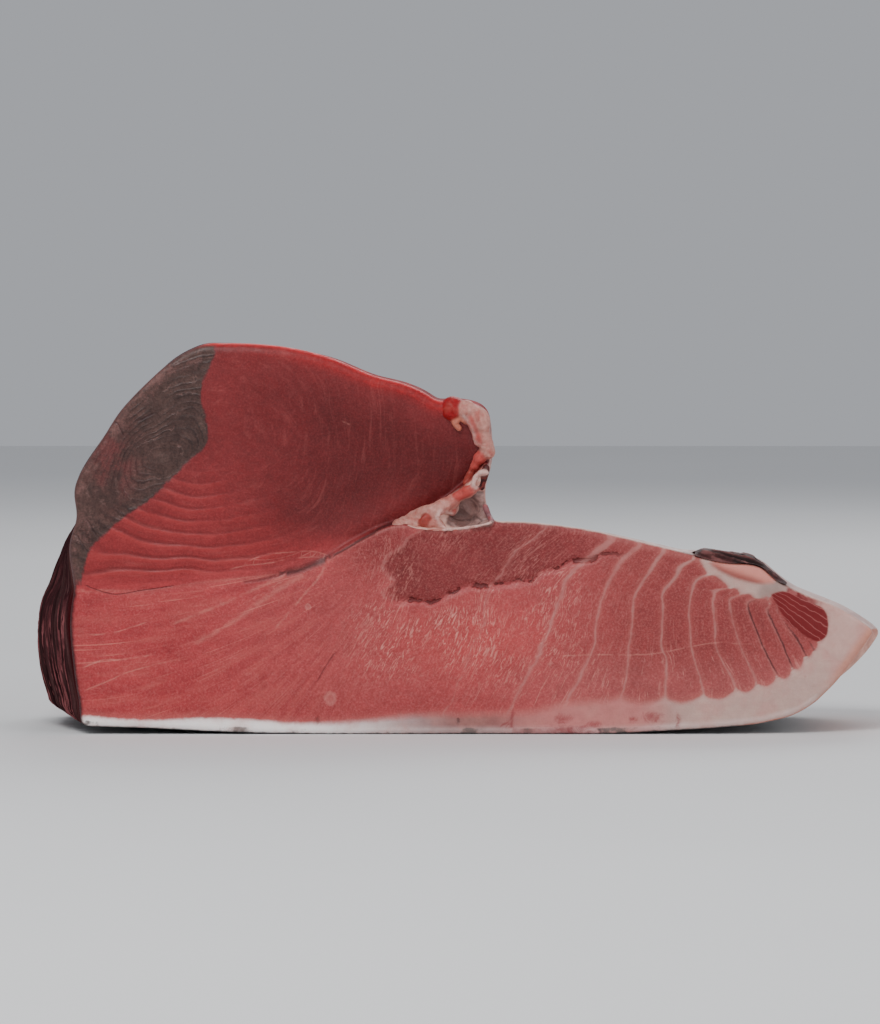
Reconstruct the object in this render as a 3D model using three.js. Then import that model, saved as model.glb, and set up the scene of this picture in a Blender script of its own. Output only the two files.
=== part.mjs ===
// Raw tuna steak: one thick block cut across a bluefin's belly quarter, lying skin side down.
// Frame: X along the cut face from the loin's outer side to the belly tip, Y from the front cut
// face to the back one, Z up from the board. Millimetres.
import * as THREE from 'three';

// Driving dimensions (mm)
const FACE_WIDTH = 361;   // front cut face, outer side to belly tip
const HEIGHT = 178;       // board to the top of the loin
const THICKNESS = 110;    // front cut face to back cut face
const EDGE_BEVEL = 2.5;   // softened arris round each cut face
const SIDE_FLARE = 18;    // the loin's outer side swells past its front edge
const BELLY_FLARE = 4;    // the belly edge swells past its front edge
const FLAP_HEIGHT = 3;    // lining flap that stands up behind the belly's upper edge
const WALL_DROP = 7;      // the belly's upper side slopes down to the back
const LOIN_DROP = 5;      // and so does the loin's top
const FOLD_DEPTH = 21;    // how far the loin's face lies behind the belly's at the fold's open end
const RIM_RECESS = 6;     // the loin's top rim, behind the belly's face
const BAND_RISE = 12;     // the torn band in the fold, forward of the loin's face
const POCKET_DEPTH = 7;   // torn hollow at the fold's open end
const BELLY_SWELL = 1.5;  // the belly's face stands this far forward in its middle
const TIP_RECESS = 4;     // and falls back this far to its tip
const LIP_WIDTH = 1.8;    // over which the loin's face falls back from the fold
const SIDE_WAVE = 1.6;    // unevenness of the sides between the two cut faces
const BACK_RELIEF = 0.45; // relief of the back cut face, against that of the front one

// Mesh density: steps along each stretch of the section and through the thickness
const BELLY_COLUMNS = 56;
const FOLD_COLUMNS = 29;
const BELLY_ROWS = 12;
const LOIN_ROWS = 16;
const DEPTH_STEPS = 6;
const CROWDING = 1.3;     // over 1 crowds the columns towards the fold's mouth
const MOUTH_SHARE = 0.56; // how far along the skin the fold's mouth stands

// The front face's outline, in percent of FACE_WIDTH and HEIGHT. Two patches share it: the belly
// below the fold and the loin above it. Each stretch runs left to right or bottom to top.
const SKIN = [[1, 2], [9.5, 1.5], [19.5, 0.5], [32.5, 0], [48.5, 0], [65, 0], [76.5, 1],
  [84.5, 2.2], [88, 3.4], [91, 5], [93.6, 8.1]];
const BELLY_EDGE = [[93.6, 8.1], [96.3, 13.5], [98.6, 19.6], [101, 26.6]];
const CAVITY_WALL = [[53, 54.5], [56, 54.5], [59.5, 54], [65, 52.5], [71.5, 49.5], [77.5, 46.5],
  [82, 44.5], [86.5, 43.5], [88.5, 40], [91.5, 36.5], [96.3, 32.6], [99.3, 28.9], [101, 26.6]];
const OUTER_SIDE_LOW = [[1, 2], [1, 7.5], [0.5, 14], [0, 24.5], [0, 31], [0.5, 37.5]];
const FOLD = [[0.5, 37.5], [8.5, 37], [16, 39], [22.5, 40.5], [26.5, 41.5], [31.5, 44.5],
  [35, 48.5], [39, 52.5], [41.5, 53.5], [43.5, 52.5], [46.5, 52], [49.5, 52.5], [53, 54.5]];
const LOIN_END = [[53, 54.5], [52, 59], [52, 64], [52.6, 70], [52.5, 76], [52.2, 81]];
const LOIN_TOP = [[16.5, 100], [22.5, 100], [27.5, 99], [32.5, 96.5], [37.5, 92.2], [41.5, 90],
  [44, 87.9], [46, 85.4], [47.7, 85.6], [50.4, 84.8], [51.7, 83.4], [52.2, 81]];
const OUTER_SIDE_HIGH = [[0.5, 37.5], [-0.5, 48.5], [0.5, 55.5], [0, 62.5], [1.5, 69],
  [4, 76.5], [6, 83], [9.5, 90.5], [13, 96.5], [16.5, 100]];

// Places on the section (mm), from the same percentages
const across = (percent) => (percent / 100 - 0.5) * FACE_WIDTH;
const up = (percent) => (percent / 100) * HEIGHT;
const FOLD_START = across(25);
const FOLD_MOUTH = across(51);
const BAND_START = across(41.5);  // where the torn band leaves the fold
const BAND_SLOPE = 0.72;          // the band widens by this much for each millimetre of X
const BAND_BLEND = 3;             // half the width of its upper edge's slope
const BAND_TAPER = 6;             // the width at which it stands at its full height
const POCKET = { x: across(49), z: up(57.5), rx: 9, rz: 8, flat: 0.3, rim: 1.2 };
const FLAP = { from: across(77), to: across(90.5), foot: 0.08, crest: 0.3 };
const FLARE = { from: up(-1), full: up(7), shrinks: up(33), to: up(56), inner: across(8) };
const FLARE_CREST = 0.5;          // share of the thickness where the outer side swells most
const FLARE_EASE = 0.35;          // how much of its swell is gone for each thickness past there
const TIP_FLARE = { from: across(85), to: across(94), full: 0.35 };
const BELLY_FACE = { low: up(-10), high: up(60), tipFrom: across(84), tipTo: across(100) };
const LOIN_SLOPE = { from: up(40), full: up(90) };
const EDGE_EASE = { from: up(8), full: up(26.6) };   // where the belly edge takes up the wall's fall
const END_EASE = { from: up(54.5), full: up(81) };   // and where the loin's end lets it go
const WAVE = { alongX: 19, alongZ: 13, turn: 5, clear: up(6) };
const FOLD_END_SHARE = 0.06;      // share of the fold that bends to meet the rim at each end
const BACK_MOUTH_SHARE = 0.22;    // and at its mouth on the back face

const { clamp, lerp, smoothstep } = THREE.MathUtils;

// Points of a stretch at the given shares of its length
function sample(percentPoints, shares) {
  const points = percentPoints.map(([x, z]) => new THREE.Vector2(across(x), up(z)));
  const curve = new THREE.SplineCurve(points);
  return shares.map((share) => curve.getPointAt(share));
}

const evenShares = (steps) => Array.from({ length: steps + 1 }, (_, step) => step / steps);

// 1 in the middle of [from, to], falling smoothly to 0 at both ends
function hump(value, from, to) {
  return Math.sin(clamp((value - from) / (to - from), 0, 1) * Math.PI) ** 2;
}

// ---- The section's stretches, sampled ----

// Columns crowd towards the fold's mouth, where the form is finest
const foldShares = evenShares(FOLD_COLUMNS).map((share) => 1 - (1 - share) ** CROWDING);
const wallShares = evenShares(BELLY_COLUMNS - FOLD_COLUMNS).map((share) => share ** CROWDING);
const skinShares = [
  ...foldShares.map((share) => share * MOUTH_SHARE),
  ...wallShares.slice(1).map((share) => lerp(MOUTH_SHARE, 1, share)),
];

const skin = sample(SKIN, skinShares);
const bellyEdge = sample(BELLY_EDGE, evenShares(BELLY_ROWS));
const fold = sample(FOLD, foldShares);
const cavityWall = sample(CAVITY_WALL, wallShares);
const outerSideLow = sample(OUTER_SIDE_LOW, evenShares(BELLY_ROWS));
const loinEnd = sample(LOIN_END, evenShares(LOIN_ROWS));
const loinTop = sample(LOIN_TOP, foldShares);
const outerSideHigh = sample(OUTER_SIDE_HIGH, evenShares(LOIN_ROWS));

// The closed outline, anticlockwise as seen from the front, without repeated corners
const outline = [
  ...skin.slice(0, -1),
  ...bellyEdge.slice(0, -1),
  ...cavityWall.slice(1).reverse(),
  ...loinEnd.slice(0, -1),
  ...loinTop.slice(1).reverse(),
  ...outerSideHigh.slice(1).reverse(),
  ...outerSideLow.slice(1).reverse(),
];
const CORNER = {
  bellyEdge: BELLY_COLUMNS,
  bellyTip: BELLY_COLUMNS + BELLY_ROWS,
  foldMouth: 2 * BELLY_COLUMNS + BELLY_ROWS - FOLD_COLUMNS,
};
CORNER.loinTopRight = CORNER.foldMouth + LOIN_ROWS;
CORNER.loinTopLeft = CORNER.loinTopRight + FOLD_COLUMNS;
CORNER.foldOuter = CORNER.loinTopLeft + LOIN_ROWS;

function outwardNormal(index) {
  const count = outline.length;
  const before = outline[(index + count - 1) % count];
  const after = outline[(index + 1) % count];
  return new THREE.Vector2(after.y - before.y, before.x - after.x).normalize();
}

// ---- Relief of a cut face: how far it lies behind its flat plane (mm) ----

function heightOfFold(line, x) {
  const beyond = line.findIndex((point) => point.x > x);
  const next = beyond < 0 ? FOLD_COLUMNS : Math.max(beyond, 1);
  const [low, high] = [line[next - 1], line[next]];
  return lerp(low.y, high.y, clamp((x - low.x) / (high.x - low.x), 0, 1));
}

// The loin's face hollows back from its fold line and comes forward again to its top rim; rise
// goes from 0 at the fold to 1 at the rim
function loinRecess(line, x, z, rise) {
  const aboveFold = z - heightOfFold(line, x);
  const open = smoothstep(x, FOLD_START, FOLD_MOUTH);
  const hollow = open * lerp(FOLD_DEPTH, RIM_RECESS, rise);
  const bandWidth = BAND_SLOPE * Math.max(x - BAND_START, 0);
  const band = BAND_RISE * smoothstep(bandWidth - aboveFold, -BAND_BLEND, BAND_BLEND)
    * smoothstep(bandWidth, 0, BAND_TAPER);
  const fromPocket = Math.hypot((x - POCKET.x) / POCKET.rx, (z - POCKET.z) / POCKET.rz);
  const pocket = POCKET_DEPTH * (1 - smoothstep(fromPocket, POCKET.flat, POCKET.rim));
  return smoothstep(aboveFold, 0, LIP_WIDTH) * (hollow - band + pocket);
}

// The belly's face swells a little between its upper edge and the skin, and thins to its tip
function bellyRecess(x, z) {
  const swell = hump(z, BELLY_FACE.low, BELLY_FACE.high);
  const tipDrop = smoothstep(x, BELLY_FACE.tipFrom, BELLY_FACE.tipTo);
  return BELLY_SWELL * (1 - swell) + TIP_RECESS * tipDrop;
}

// ---- The section at each depth ----

// How far an outline point falls from the front cut face to the back one; the stretches beside the
// cavity wall ease into its fall
function backFall(index, z) {
  const loinFall = LOIN_DROP * smoothstep(z, LOIN_SLOPE.from, LOIN_SLOPE.full);
  if (index < CORNER.bellyTip) return WALL_DROP * smoothstep(z, EDGE_EASE.from, EDGE_EASE.full);
  if (index <= CORNER.foldMouth) return WALL_DROP;
  if (index > CORNER.loinTopRight) return loinFall;
  return lerp(WALL_DROP, loinFall, smoothstep(z, END_EASE.from, END_EASE.full));
}

// Where an outline point lies at depth 0 (front) to 1 (back), before its arris is softened
function sectionPoint(index, depth) {
  const { x, y: z } = outline[index];
  const normal = outwardNormal(index);
  const ripple = Math.sin(x / WAVE.alongX + z / WAVE.alongZ + WAVE.turn * depth);
  const wave = SIDE_WAVE * Math.sin(depth * Math.PI) * ripple * smoothstep(z, 0, WAVE.clear);

  const heightShare = smoothstep(z, FLARE.from, FLARE.full)
    * (1 - smoothstep(z, FLARE.shrinks, FLARE.to));
  const outerSide = heightShare * (1 - smoothstep(x, across(0), FLARE.inner));
  const swell = Math.sin(Math.min(depth / FLARE_CREST, 1) * Math.PI / 2)
    - FLARE_EASE * Math.max(depth - FLARE_CREST, 0);
  const bellySide = smoothstep(x, TIP_FLARE.from, TIP_FLARE.to)
    * smoothstep(depth, 0, TIP_FLARE.full);

  const onCavityWall = index >= CORNER.bellyTip && index <= CORNER.foldMouth;
  const flap = onCavityWall ? FLAP_HEIGHT * Math.sqrt(hump(x, FLAP.from, FLAP.to)) : 0;
  const rise = flap * smoothstep(depth, FLAP.foot, FLAP.crest) - backFall(index, z) * depth;
  return new THREE.Vector2(
    x + wave * normal.x - SIDE_FLARE * outerSide * swell + BELLY_FLARE * bellySide,
    Math.max(z + wave * normal.y + rise, 0),
  );
}

// Depth through the block and how far the section is drawn in there
const rings = [{ depth: 0, inset: EDGE_BEVEL }];
for (let step = 0; step <= DEPTH_STEPS; step += 1) {
  const bevel = EDGE_BEVEL / THICKNESS;
  rings.push({ depth: lerp(bevel, 1 - bevel, step / DEPTH_STEPS), inset: 0 });
}
rings.push({ depth: 1, inset: EDGE_BEVEL });

// ---- Cut faces ----

// Blends a patch's inside from its four edges (transfinite interpolation)
function fillPatch(bottom, top, left, right) {
  const columns = bottom.length - 1;
  const rows = left.length - 1;
  const grid = [];
  for (let row = 0; row <= rows; row += 1) {
    const v = row / rows;
    grid.push(bottom.map((low, column) => {
      const u = column / columns;
      const between = low.clone().multiplyScalar(1 - v).addScaledVector(top[column], v);
      const sides = left[row].clone().multiplyScalar(1 - u).addScaledVector(right[row], u);
      const corners = bottom[0].clone().multiplyScalar((1 - u) * (1 - v))
        .addScaledVector(bottom[columns], u * (1 - v))
        .addScaledVector(top[0], (1 - u) * v)
        .addScaledVector(top[columns], u * v);
      return between.add(sides).sub(corners);
    }));
  }
  return grid;
}

function buildSteak() {
  const positions = [];
  const triangles = [];
  const count = outline.length;

  const addPoint = (x, y, z) => positions.push(x, y, z) / 3 - 1;
  const addQuad = (a, b, c, d) => triangles.push(a, b, c, a, c, d);

  // A cut face: returns the vertex number of each outline point on it
  function addCutFace(ring, relief, side) {
    const rim = outline.map((_, index) => {
      const point = sectionPoint(index, ring.depth);
      return point.addScaledVector(outwardNormal(index), -ring.inset);
    });
    const outerShift = rim[CORNER.foldOuter].clone().sub(fold[0]);
    const mouthShift = rim[CORNER.foldMouth].clone().sub(fold[FOLD_COLUMNS]);
    const mouthShare = side < 0 ? FOLD_END_SHARE : BACK_MOUTH_SHARE;
    const foldLine = fold.map((point, column) => point.clone()
      .addScaledVector(outerShift, 1 - smoothstep(foldShares[column], 0, FOLD_END_SHARE))
      .addScaledVector(mouthShift, smoothstep(foldShares[column], 1 - mouthShare, 1)));
    const run = (from, to) => {
      const step = Math.sign(to - from);
      const points = [];
      for (let index = from; index !== to + step; index += step) points.push(rim[index % count]);
      return points;
    };
    const belly = fillPatch(
      run(0, CORNER.bellyEdge),
      [...foldLine, ...run(CORNER.foldMouth - 1, CORNER.bellyTip)],
      run(count, CORNER.foldOuter),
      run(CORNER.bellyEdge, CORNER.bellyTip),
    );
    const loin = fillPatch(
      foldLine,
      run(CORNER.loinTopLeft, CORNER.loinTopRight),
      run(CORNER.foldOuter, CORNER.loinTopLeft),
      run(CORNER.foldMouth, CORNER.loinTopRight),
    );
    const plane = side * THICKNESS / 2;
    const place = ({ x, y: z }, recess) => addPoint(x, plane - side * relief * recess, z);
    const bellyIds = belly.map((row) => row.map((point) => (
      place(point, bellyRecess(point.x, point.y)))));
    const lip = side < 0 ? fold : foldLine;
    const loinIds = loin.map((row, index) => (index === 0
      ? bellyIds[BELLY_ROWS].slice(0, FOLD_COLUMNS + 1)
      : row.map((point) => place(point, loinRecess(lip, point.x, point.y, index / LOIN_ROWS)))));
    for (const ids of [bellyIds, loinIds]) {
      for (let row = 0; row + 1 < ids.length; row += 1) {
        for (let column = 0; column + 1 < ids[row].length; column += 1) {
          const quad = [ids[row][column], ids[row][column + 1],
            ids[row + 1][column + 1], ids[row + 1][column]];
          addQuad(...(side < 0 ? quad : quad.reverse()));
        }
      }
    }
    return [
      ...bellyIds[0].slice(0, -1),
      ...bellyIds.map((row) => row[BELLY_COLUMNS]).slice(0, -1),
      ...bellyIds[BELLY_ROWS].slice(FOLD_COLUMNS + 1).reverse(),
      ...loinIds.map((row) => row[FOLD_COLUMNS]).slice(0, -1),
      ...loinIds[LOIN_ROWS].slice(1).reverse(),
      ...loinIds.map((row) => row[0]).slice(1).reverse(),
      ...bellyIds.map((row) => row[0]).slice(1).reverse(),
    ];
  }

  const frontRim = addCutFace(rings[0], 1, -1);
  const backRim = addCutFace(rings[rings.length - 1], BACK_RELIEF, 1);

  // The sides run from one rim to the other
  const yOf = (id) => positions[3 * id + 1];
  const hoops = [frontRim];
  for (const ring of rings.slice(1, -1)) {
    hoops.push(outline.map((_, index) => {
      const point = sectionPoint(index, ring.depth);
      return addPoint(point.x, lerp(yOf(frontRim[index]), yOf(backRim[index]), ring.depth), point.y);
    }));
  }
  hoops.push(backRim);
  for (let hoop = 0; hoop + 1 < hoops.length; hoop += 1) {
    for (let index = 0; index < count; index += 1) {
      const next = (index + 1) % count;
      addQuad(hoops[hoop][next], hoops[hoop][index], hoops[hoop + 1][index], hoops[hoop + 1][next]);
    }
  }

  const geometry = new THREE.BufferGeometry();
  geometry.setAttribute('position', new THREE.Float32BufferAttribute(positions, 3));
  geometry.setIndex(triangles);
  geometry.computeBoundingBox();
  const { min, max } = geometry.boundingBox;
  geometry.translate(-(min.x + max.x) / 2, -(min.y + max.y) / 2, -min.z);
  geometry.computeVertexNormals();
  return geometry;
}

const flesh = new THREE.MeshStandardMaterial({ color: 0xa5504c, roughness: 0.42, metalness: 0 });
const steak = new THREE.Mesh(buildSteak(), flesh);
steak.name = 'tuna_steak';

const group = new THREE.Group();
group.add(steak);

export default group;
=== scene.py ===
"""Raw tuna steak: a thick block of bluefin belly quarter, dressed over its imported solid.

The section is worked out in millimetres from the same outline as the solid, then meshed finely.
Each vertex carries fields, such as how far it lies from the bloodline or which septa it lies
between, and the materials turn those fields into colour, gloss and relief.
"""
import math
from types import SimpleNamespace

import bmesh
import bpy
import numpy as np
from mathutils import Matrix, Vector, noise


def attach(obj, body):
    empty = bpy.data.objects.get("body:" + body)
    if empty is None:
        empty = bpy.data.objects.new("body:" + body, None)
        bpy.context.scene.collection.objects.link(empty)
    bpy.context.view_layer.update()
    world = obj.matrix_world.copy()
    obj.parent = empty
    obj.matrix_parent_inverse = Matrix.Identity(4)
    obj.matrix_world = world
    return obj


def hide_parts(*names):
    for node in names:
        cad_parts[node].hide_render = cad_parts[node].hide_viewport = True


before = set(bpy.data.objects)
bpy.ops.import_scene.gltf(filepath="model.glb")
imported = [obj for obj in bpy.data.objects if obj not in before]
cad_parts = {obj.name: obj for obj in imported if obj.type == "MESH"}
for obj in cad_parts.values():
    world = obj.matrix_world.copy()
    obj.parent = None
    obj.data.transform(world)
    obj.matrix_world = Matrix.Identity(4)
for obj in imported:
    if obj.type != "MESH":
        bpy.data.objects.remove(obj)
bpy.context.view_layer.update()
NODE = "tuna_steak"
MM = 0.001

# ---------------------------------------------------------------- driving dimensions (mm)
FACE_WIDTH = 361.0
HEIGHT = 178.0
THICKNESS = 110.0
SIDE_FLARE = 18.0
BELLY_FLARE = 4.0
FLAP_HEIGHT = 3.0
WALL_DROP = 7.0
LOIN_DROP = 5.0
FOLD_DEPTH = 21.0
RIM_RECESS = 6.0
BAND_RISE = 12.0
POCKET_DEPTH = 7.0
# the pocket's middle in percent of the face, half width and half height (mm)
POCKET = ((49, 57.5), 9, 8)
LIP_WIDTH = 1.8
SIDE_WAVE = 1.6
BACK_RELIEF = 0.45
# shares of the fold line where it bends to its ends; the mouth's for the front and back face
OUTER_BEND = 0.06
MOUTH_BEND = {-1: 0.94, 1: 0.78}
EDGE_ROUND = 2.5
LOIN_RIM_ROUND = 4.5
TIP_ROUND = 0.8

# mesh density
BELLY_COLUMNS = 270
FOLD_COLUMNS = 146
BELLY_ROWS = 68
LOIN_ROWS = 86
DEPTH_STEPS = 28
ROUND_STEPS = 4
CROWDING = 1.1
MOUTH_SHARE = 0.56
# how often a value is evened out with its neighbours along the outline
CORNER_PASSES = 10
ROUNDING_PASSES = 60
FLAP_PASSES = 20
TONE_PASSES = 12

# ---------------------------------------------------------------- outline, percent of the face
SKIN = ((1, 2), (9.5, 1.5), (19.5, 0.5), (32.5, 0), (48.5, 0), (65, 0), (76.5, 1), (84.5, 2.2),
        (88, 3.4), (91, 5), (93.6, 8.1))
BELLY_EDGE = ((93.6, 8.1), (96.3, 13.5), (98.6, 19.6), (101, 26.6))
CAVITY_WALL = ((53, 54.5), (56, 54.5), (59.5, 54), (65, 52.5), (71.5, 49.5), (77.5, 46.5),
               (82, 44.5), (86.5, 43.5), (88.5, 40), (91.5, 36.5), (96.3, 32.6), (99.3, 28.9),
               (101, 26.6))
OUTER_SIDE_LOW = ((1, 2), (1, 7.5), (0.5, 14), (0, 24.5), (0, 31), (0.5, 37.5))
FOLD = ((0.5, 37.5), (8.5, 37), (16, 39), (22.5, 40.5), (26.5, 41.5), (31.5, 44.5), (35, 48.5),
        (39, 52.5), (41.5, 53.5), (43.5, 52.5), (46.5, 52), (49.5, 52.5), (53, 54.5))
LOIN_END = ((53, 54.5), (52, 59), (52, 64), (52.6, 70), (52.5, 76), (52.2, 81))
LOIN_TOP = ((16.5, 100), (22.5, 100), (27.5, 99), (32.5, 96.5), (37.5, 92.2), (41.5, 90),
            (44, 87.9), (46, 85.4), (47.7, 85.6), (50.4, 84.8), (51.7, 83.4), (52.2, 81))
OUTER_SIDE_HIGH = ((0.5, 37.5), (-0.5, 48.5), (0.5, 55.5), (0, 62.5), (1.5, 69), (4, 76.5),
                   (6, 83), (9.5, 90.5), (13, 96.5), (16.5, 100))

# what shows on the cut face, percent of the face
BLOODLINE_EDGE = ((18.5, 102), (17.5, 95.5), (16.5, 91), (16, 86.5), (16.5, 82.5), (17, 76.5),
                  (16.5, 73.5), (14.5, 70), (12, 65), (9.5, 60), (6.5, 56), (4, 51.5), (2, 47),
                  (1, 39.5), (0.5, 33), (0, 22), (-2, 12))
BLOOD_CENTRE = (11.5, 71.5)
RING_CENTRE = (17, 76.5)
FAT_EDGE = ((-1, 5.5), (4, 4.3), (9.5, 3.7), (16.5, 4.2), (22.5, 3.8), (28.5, 2.8), (36.5, 3.4),
            (43, 4.8), (50.5, 5), (57.5, 5.5), (61.5, 7.3), (66.5, 8.3), (71.5, 8), (76.5, 8.2),
            (81, 9), (86, 11.5), (90, 14.5), (92, 18), (94, 23), (95, 27), (95, 30.5), (93.8, 33),
            (91, 36), (88.5, 36.2), (86.7, 35.2), (84.5, 36.5), (82.5, 38.5), (80.5, 41.5),
            (79, 44.5), (78, 50))
TORN_CRACK = ((40, 34), (41.5, 34.2), (43.5, 34.4), (45, 33.7), (46.5, 35), (48, 36.5), (50, 38),
              (52, 38), (54, 38.4), (56, 39), (58, 39.6), (59, 41.5), (61.3, 42.6), (63, 44.5),
              (65, 44.5), (67, 46.5), (69.5, 46), (71, 47.5))
MEMBRANE = ((43.5, 52), (42, 50), (41.5, 48), (40.3, 46.5), (39.2, 44), (39, 42), (39.7, 40.5),
            (40.5, 39.2), (39.7, 38), (39, 36), (39.5, 34.5))
BUNDLE = ((87.9, 35.8), (89.2, 36.7), (90.6, 36.3), (92.1, 34.6), (94, 32.9), (94.8, 31.3),
          (95.1, 28.8), (95, 25.7), (94.3, 24.2), (93.5, 24), (91.9, 25.7), (90.3, 28.5),
          (89.4, 30.6), (88.6, 33.4))
PAD = ((79.9, 44.6), (81.6, 44.8), (84.4, 45), (86.3, 44.6), (87.6, 42), (88.6, 39.1),
       (87.6, 38.4), (86, 38.4), (83.9, 39.4), (82, 41), (80.4, 43))
# septa from the loin's side to the tip, each from its foot to its top; the first two and the last
# only guide the fibres
SEPTA = (
    ((16.6, 5), (25.4, 27.1), (30.7, 39.6), (32.3, 45.3)),
    ((30.4, 5), (36.7, 26.9), (39.2, 37.1), (41.4, 49.9)),
    ((46.9, 5.9), (50.4, 21), (51.7, 30), (52.6, 38), (55.7, 45.8), (59.9, 53.2)),
    ((54.8, 5.9), (58.7, 20.9), (60.3, 28.8), (61.9, 38.3), (64.4, 44.5), (68.5, 50.8)),
    ((62, 7.4), (63.5, 13.4), (65.3, 21.2), (66.4, 33), (68.6, 43), (71.4, 48.6)),
    ((68.9, 8.4), (69.6, 15), (70.1, 22.8), (70.9, 35.8), (73.6, 44.8), (74.8, 47.4)),
    ((74.5, 7.4), (74.7, 19.2), (74.2, 22), (74.2, 32), (74.4, 36.6), (75.8, 40), (76.5, 43),
     (78.1, 44.8)),
    ((79.4, 7.4), (79.1, 14.2), (77.9, 21.7), (77.6, 31), (78.1, 37.7), (79, 40.1), (80.4, 41.2)),
    ((83.9, 9), (83.2, 13.8), (81.2, 21.7), (80.7, 31), (80.6, 35), (81.1, 37), (83.6, 37.8)),
    ((86.5, 11), (85.3, 17), (83.6, 25.2), (82.7, 33), (82.9, 35), (84.9, 36.4)),
    ((89.1, 13.6), (87.6, 18.9), (85.9, 27.1), (84.8, 32.9), (85.2, 34.3), (86.4, 35)),
    ((91.2, 14.1), (89.6, 21.6), (88, 28.8), (87.4, 31.7), (87.8, 33)),
    ((93, 16.1), (91.9, 21.6), (90.8, 25.2), (88.7, 31.5)),
    ((94.2, 18.2), (92.5, 24), (91.1, 26.6), (89.7, 29.9)),
)
SEPTUM_NUMBERS = tuple(range(len(SEPTA)))
SEPTA_HALF_TOP = (0.3, 0.3, 0.5, 1.5, 0.9, 0.8, 0.9, 0.7, 0.5, 0.4, 0.3, 0.2, 0.2, 0)
SEPTA_HALF_MIDDLE = (0.2, 0.2, 0.2, 0.4, 0.25, 0.2, 0.2, 0.2, 0.2, 0.18, 0.2, 0.2, 0.2, 0)
SEPTA_HALF_FOOT = (0.2, 0.2, 0.1, 0.3, 0.45, 0.3, 0.35, 0.5, 0.5, 0.45, 0.3, 0.2, 0.2, 0)
SEPTA_POWER = (0, 0.05, 0.55, 0.85, 0.85, 0.85, 0.9, 0.9, 0.9, 0.8, 0.6, 0.5, 0.45, 0)
# from this septum on, painted shade lies in a groove beside each septum
FIRST_DARK_SEPTUM = 10
FLESH_TOP = ((53, 54.5), (60, 53.8), (65, 52.5), (71.5, 49.5), (77.5, 46), (80.5, 41.5),
             (82.5, 38.5), (84.5, 36.5), (86.7, 35.2), (89, 30.5), (92.3, 24.5), (94.5, 22))
FLESH_FOOT = ((50, 5), (57.5, 5.5), (61.5, 7.3), (71.5, 8), (76.5, 8.2), (81, 9), (86, 11.5),
              (90, 14.5), (92, 18), (94.5, 22))
HOLLOW = ((49, 60.1), (50.2, 61.6), (51.4, 62.3), (53, 60.1), (53, 57.6), (53, 55.2),
          (52.6, 53.4), (50.7, 52.9), (48.5, 52.4), (47, 53.7), (47.3, 55.9), (48.3, 56.7),
          (48.6, 58.9))
FAN_POINT = (42, 50)
MIDDLE_HEIGHT = 26
BUNDLE_ROOT = (83, 43)
BUNDLE_SHEETS = 15

# thin marks: half width (mm), strength, points in percent of the face
PALE_LINES = (
    (0.3, 0.24, ((31.8, 43.4), (30.7, 39.6), (28.2, 33.8), (25.4, 27.1))),
    (0.8, 0.2, ((29.5, 41.4), (26.5, 38), (23.8, 34.3), (20.1, 28.9), (15, 23))),
    (0.4, 0.2, ((27, 41), (23, 37.4), (18, 32.8), (12, 28))),
    (0.15, 0.3, ((0.9, 26.6), (2.1, 25.6), (4, 25.8), (6.4, 26.9), (9.4, 28.9))),
    (0.2, 0.35, ((1, 16.9), (2.1, 17.9), (4, 19.2), (5.9, 19.2), (10, 20.4))),
    (0.15, 0.3, ((1.4, 11.3), (4, 13.4), (7.5, 16.4), (12.5, 19))),
    (0.15, 0.28, ((61.3, 20.2), (66.3, 20.5), (71.3, 20.5), (74.5, 21.2), (80.6, 23.5),
                  (83.8, 23.3), (86.5, 22.8))),
    (0.2, 0.3, ((34, 80.1), (34.8, 79.3))),
    (0.2, 0.25, ((35.3, 22.8), (37.6, 29.4), (39.4, 33.5))),
    (0.6, 0.7, ((60, 54.4), (64, 53.4), (68, 51.3), (72, 49.2), (76, 47.3), (79, 45.9))),
    (0.12, 0.28, ((19.7, 42.3), (21.7, 43.3), (24.3, 43.9), (27.7, 45.1), (30.4, 45.4),
                  (31.8, 45))),
    (0.12, 0.24, ((22, 44.5), (24.3, 46.1), (27.1, 46.7), (30.1, 46.9), (32.1, 45.8))),
)
# the first three dark lines are painted shadow along the fold's crease; the others are dark marks
DARK_LINES = (
    (1.0, 0.96, ((25.8, 40.9), (28.2, 41.9), (29.8, 43.1), (31.3, 44.3), (32.7, 45.8))),
    (0.45, 0.5, ((21.5, 39.1), (23.8, 39.7), (26.6, 41.2))),
    (0.35, 0.9, ((31.8, 44.8), (34.1, 47.3), (36, 49.6), (37.5, 51.2), (38.7, 52.7),
                 (40.8, 54.3))),
    (0.1, 0.6, ((1.4, 38.4), (2.6, 37.3), (4.2, 36.3), (5.5, 35.9), (7.2, 36.4), (9.1, 37),
                (13, 38.2))),
    (0.2, 0.5, ((0.1, 52.7), (0.9, 49.6), (1.9, 46.8))),
    (0.2, 0.5, ((1.6, 55.5), (2.5, 52.4), (3.1, 50.4))),
    (0.25, 0.7, ((8.2, 80.1), (9.2, 81.1), (10.3, 82.4))),
    (0.2, 0.6, ((5.4, 80.6), (5.9, 78.5), (6.5, 76.2))),
    (0.15, 0.5, ((33, 21), (31.7, 17.1), (30.7, 13.6))),
    (0.3, 0.7, ((48.3, 4.2), (48.6, 3.6), (48.4, 2.7))),
    (0.7, 0.5, ((30.7, 4.4), (30.9, 2.6))),
)
RED_LINES = (
    (0.5, 0.6, ((55.5, 6.2), (55.3, 4.5), (55.2, 3), (55.2, 1.5))),
    (0.3, 0.5, ((54.9, 3.2), (54.3, 2.8), (53.8, 2.1))),
    (0.4, 0.5, ((55, 1.2), (59, 1.1), (63, 1.5))),
)
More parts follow.
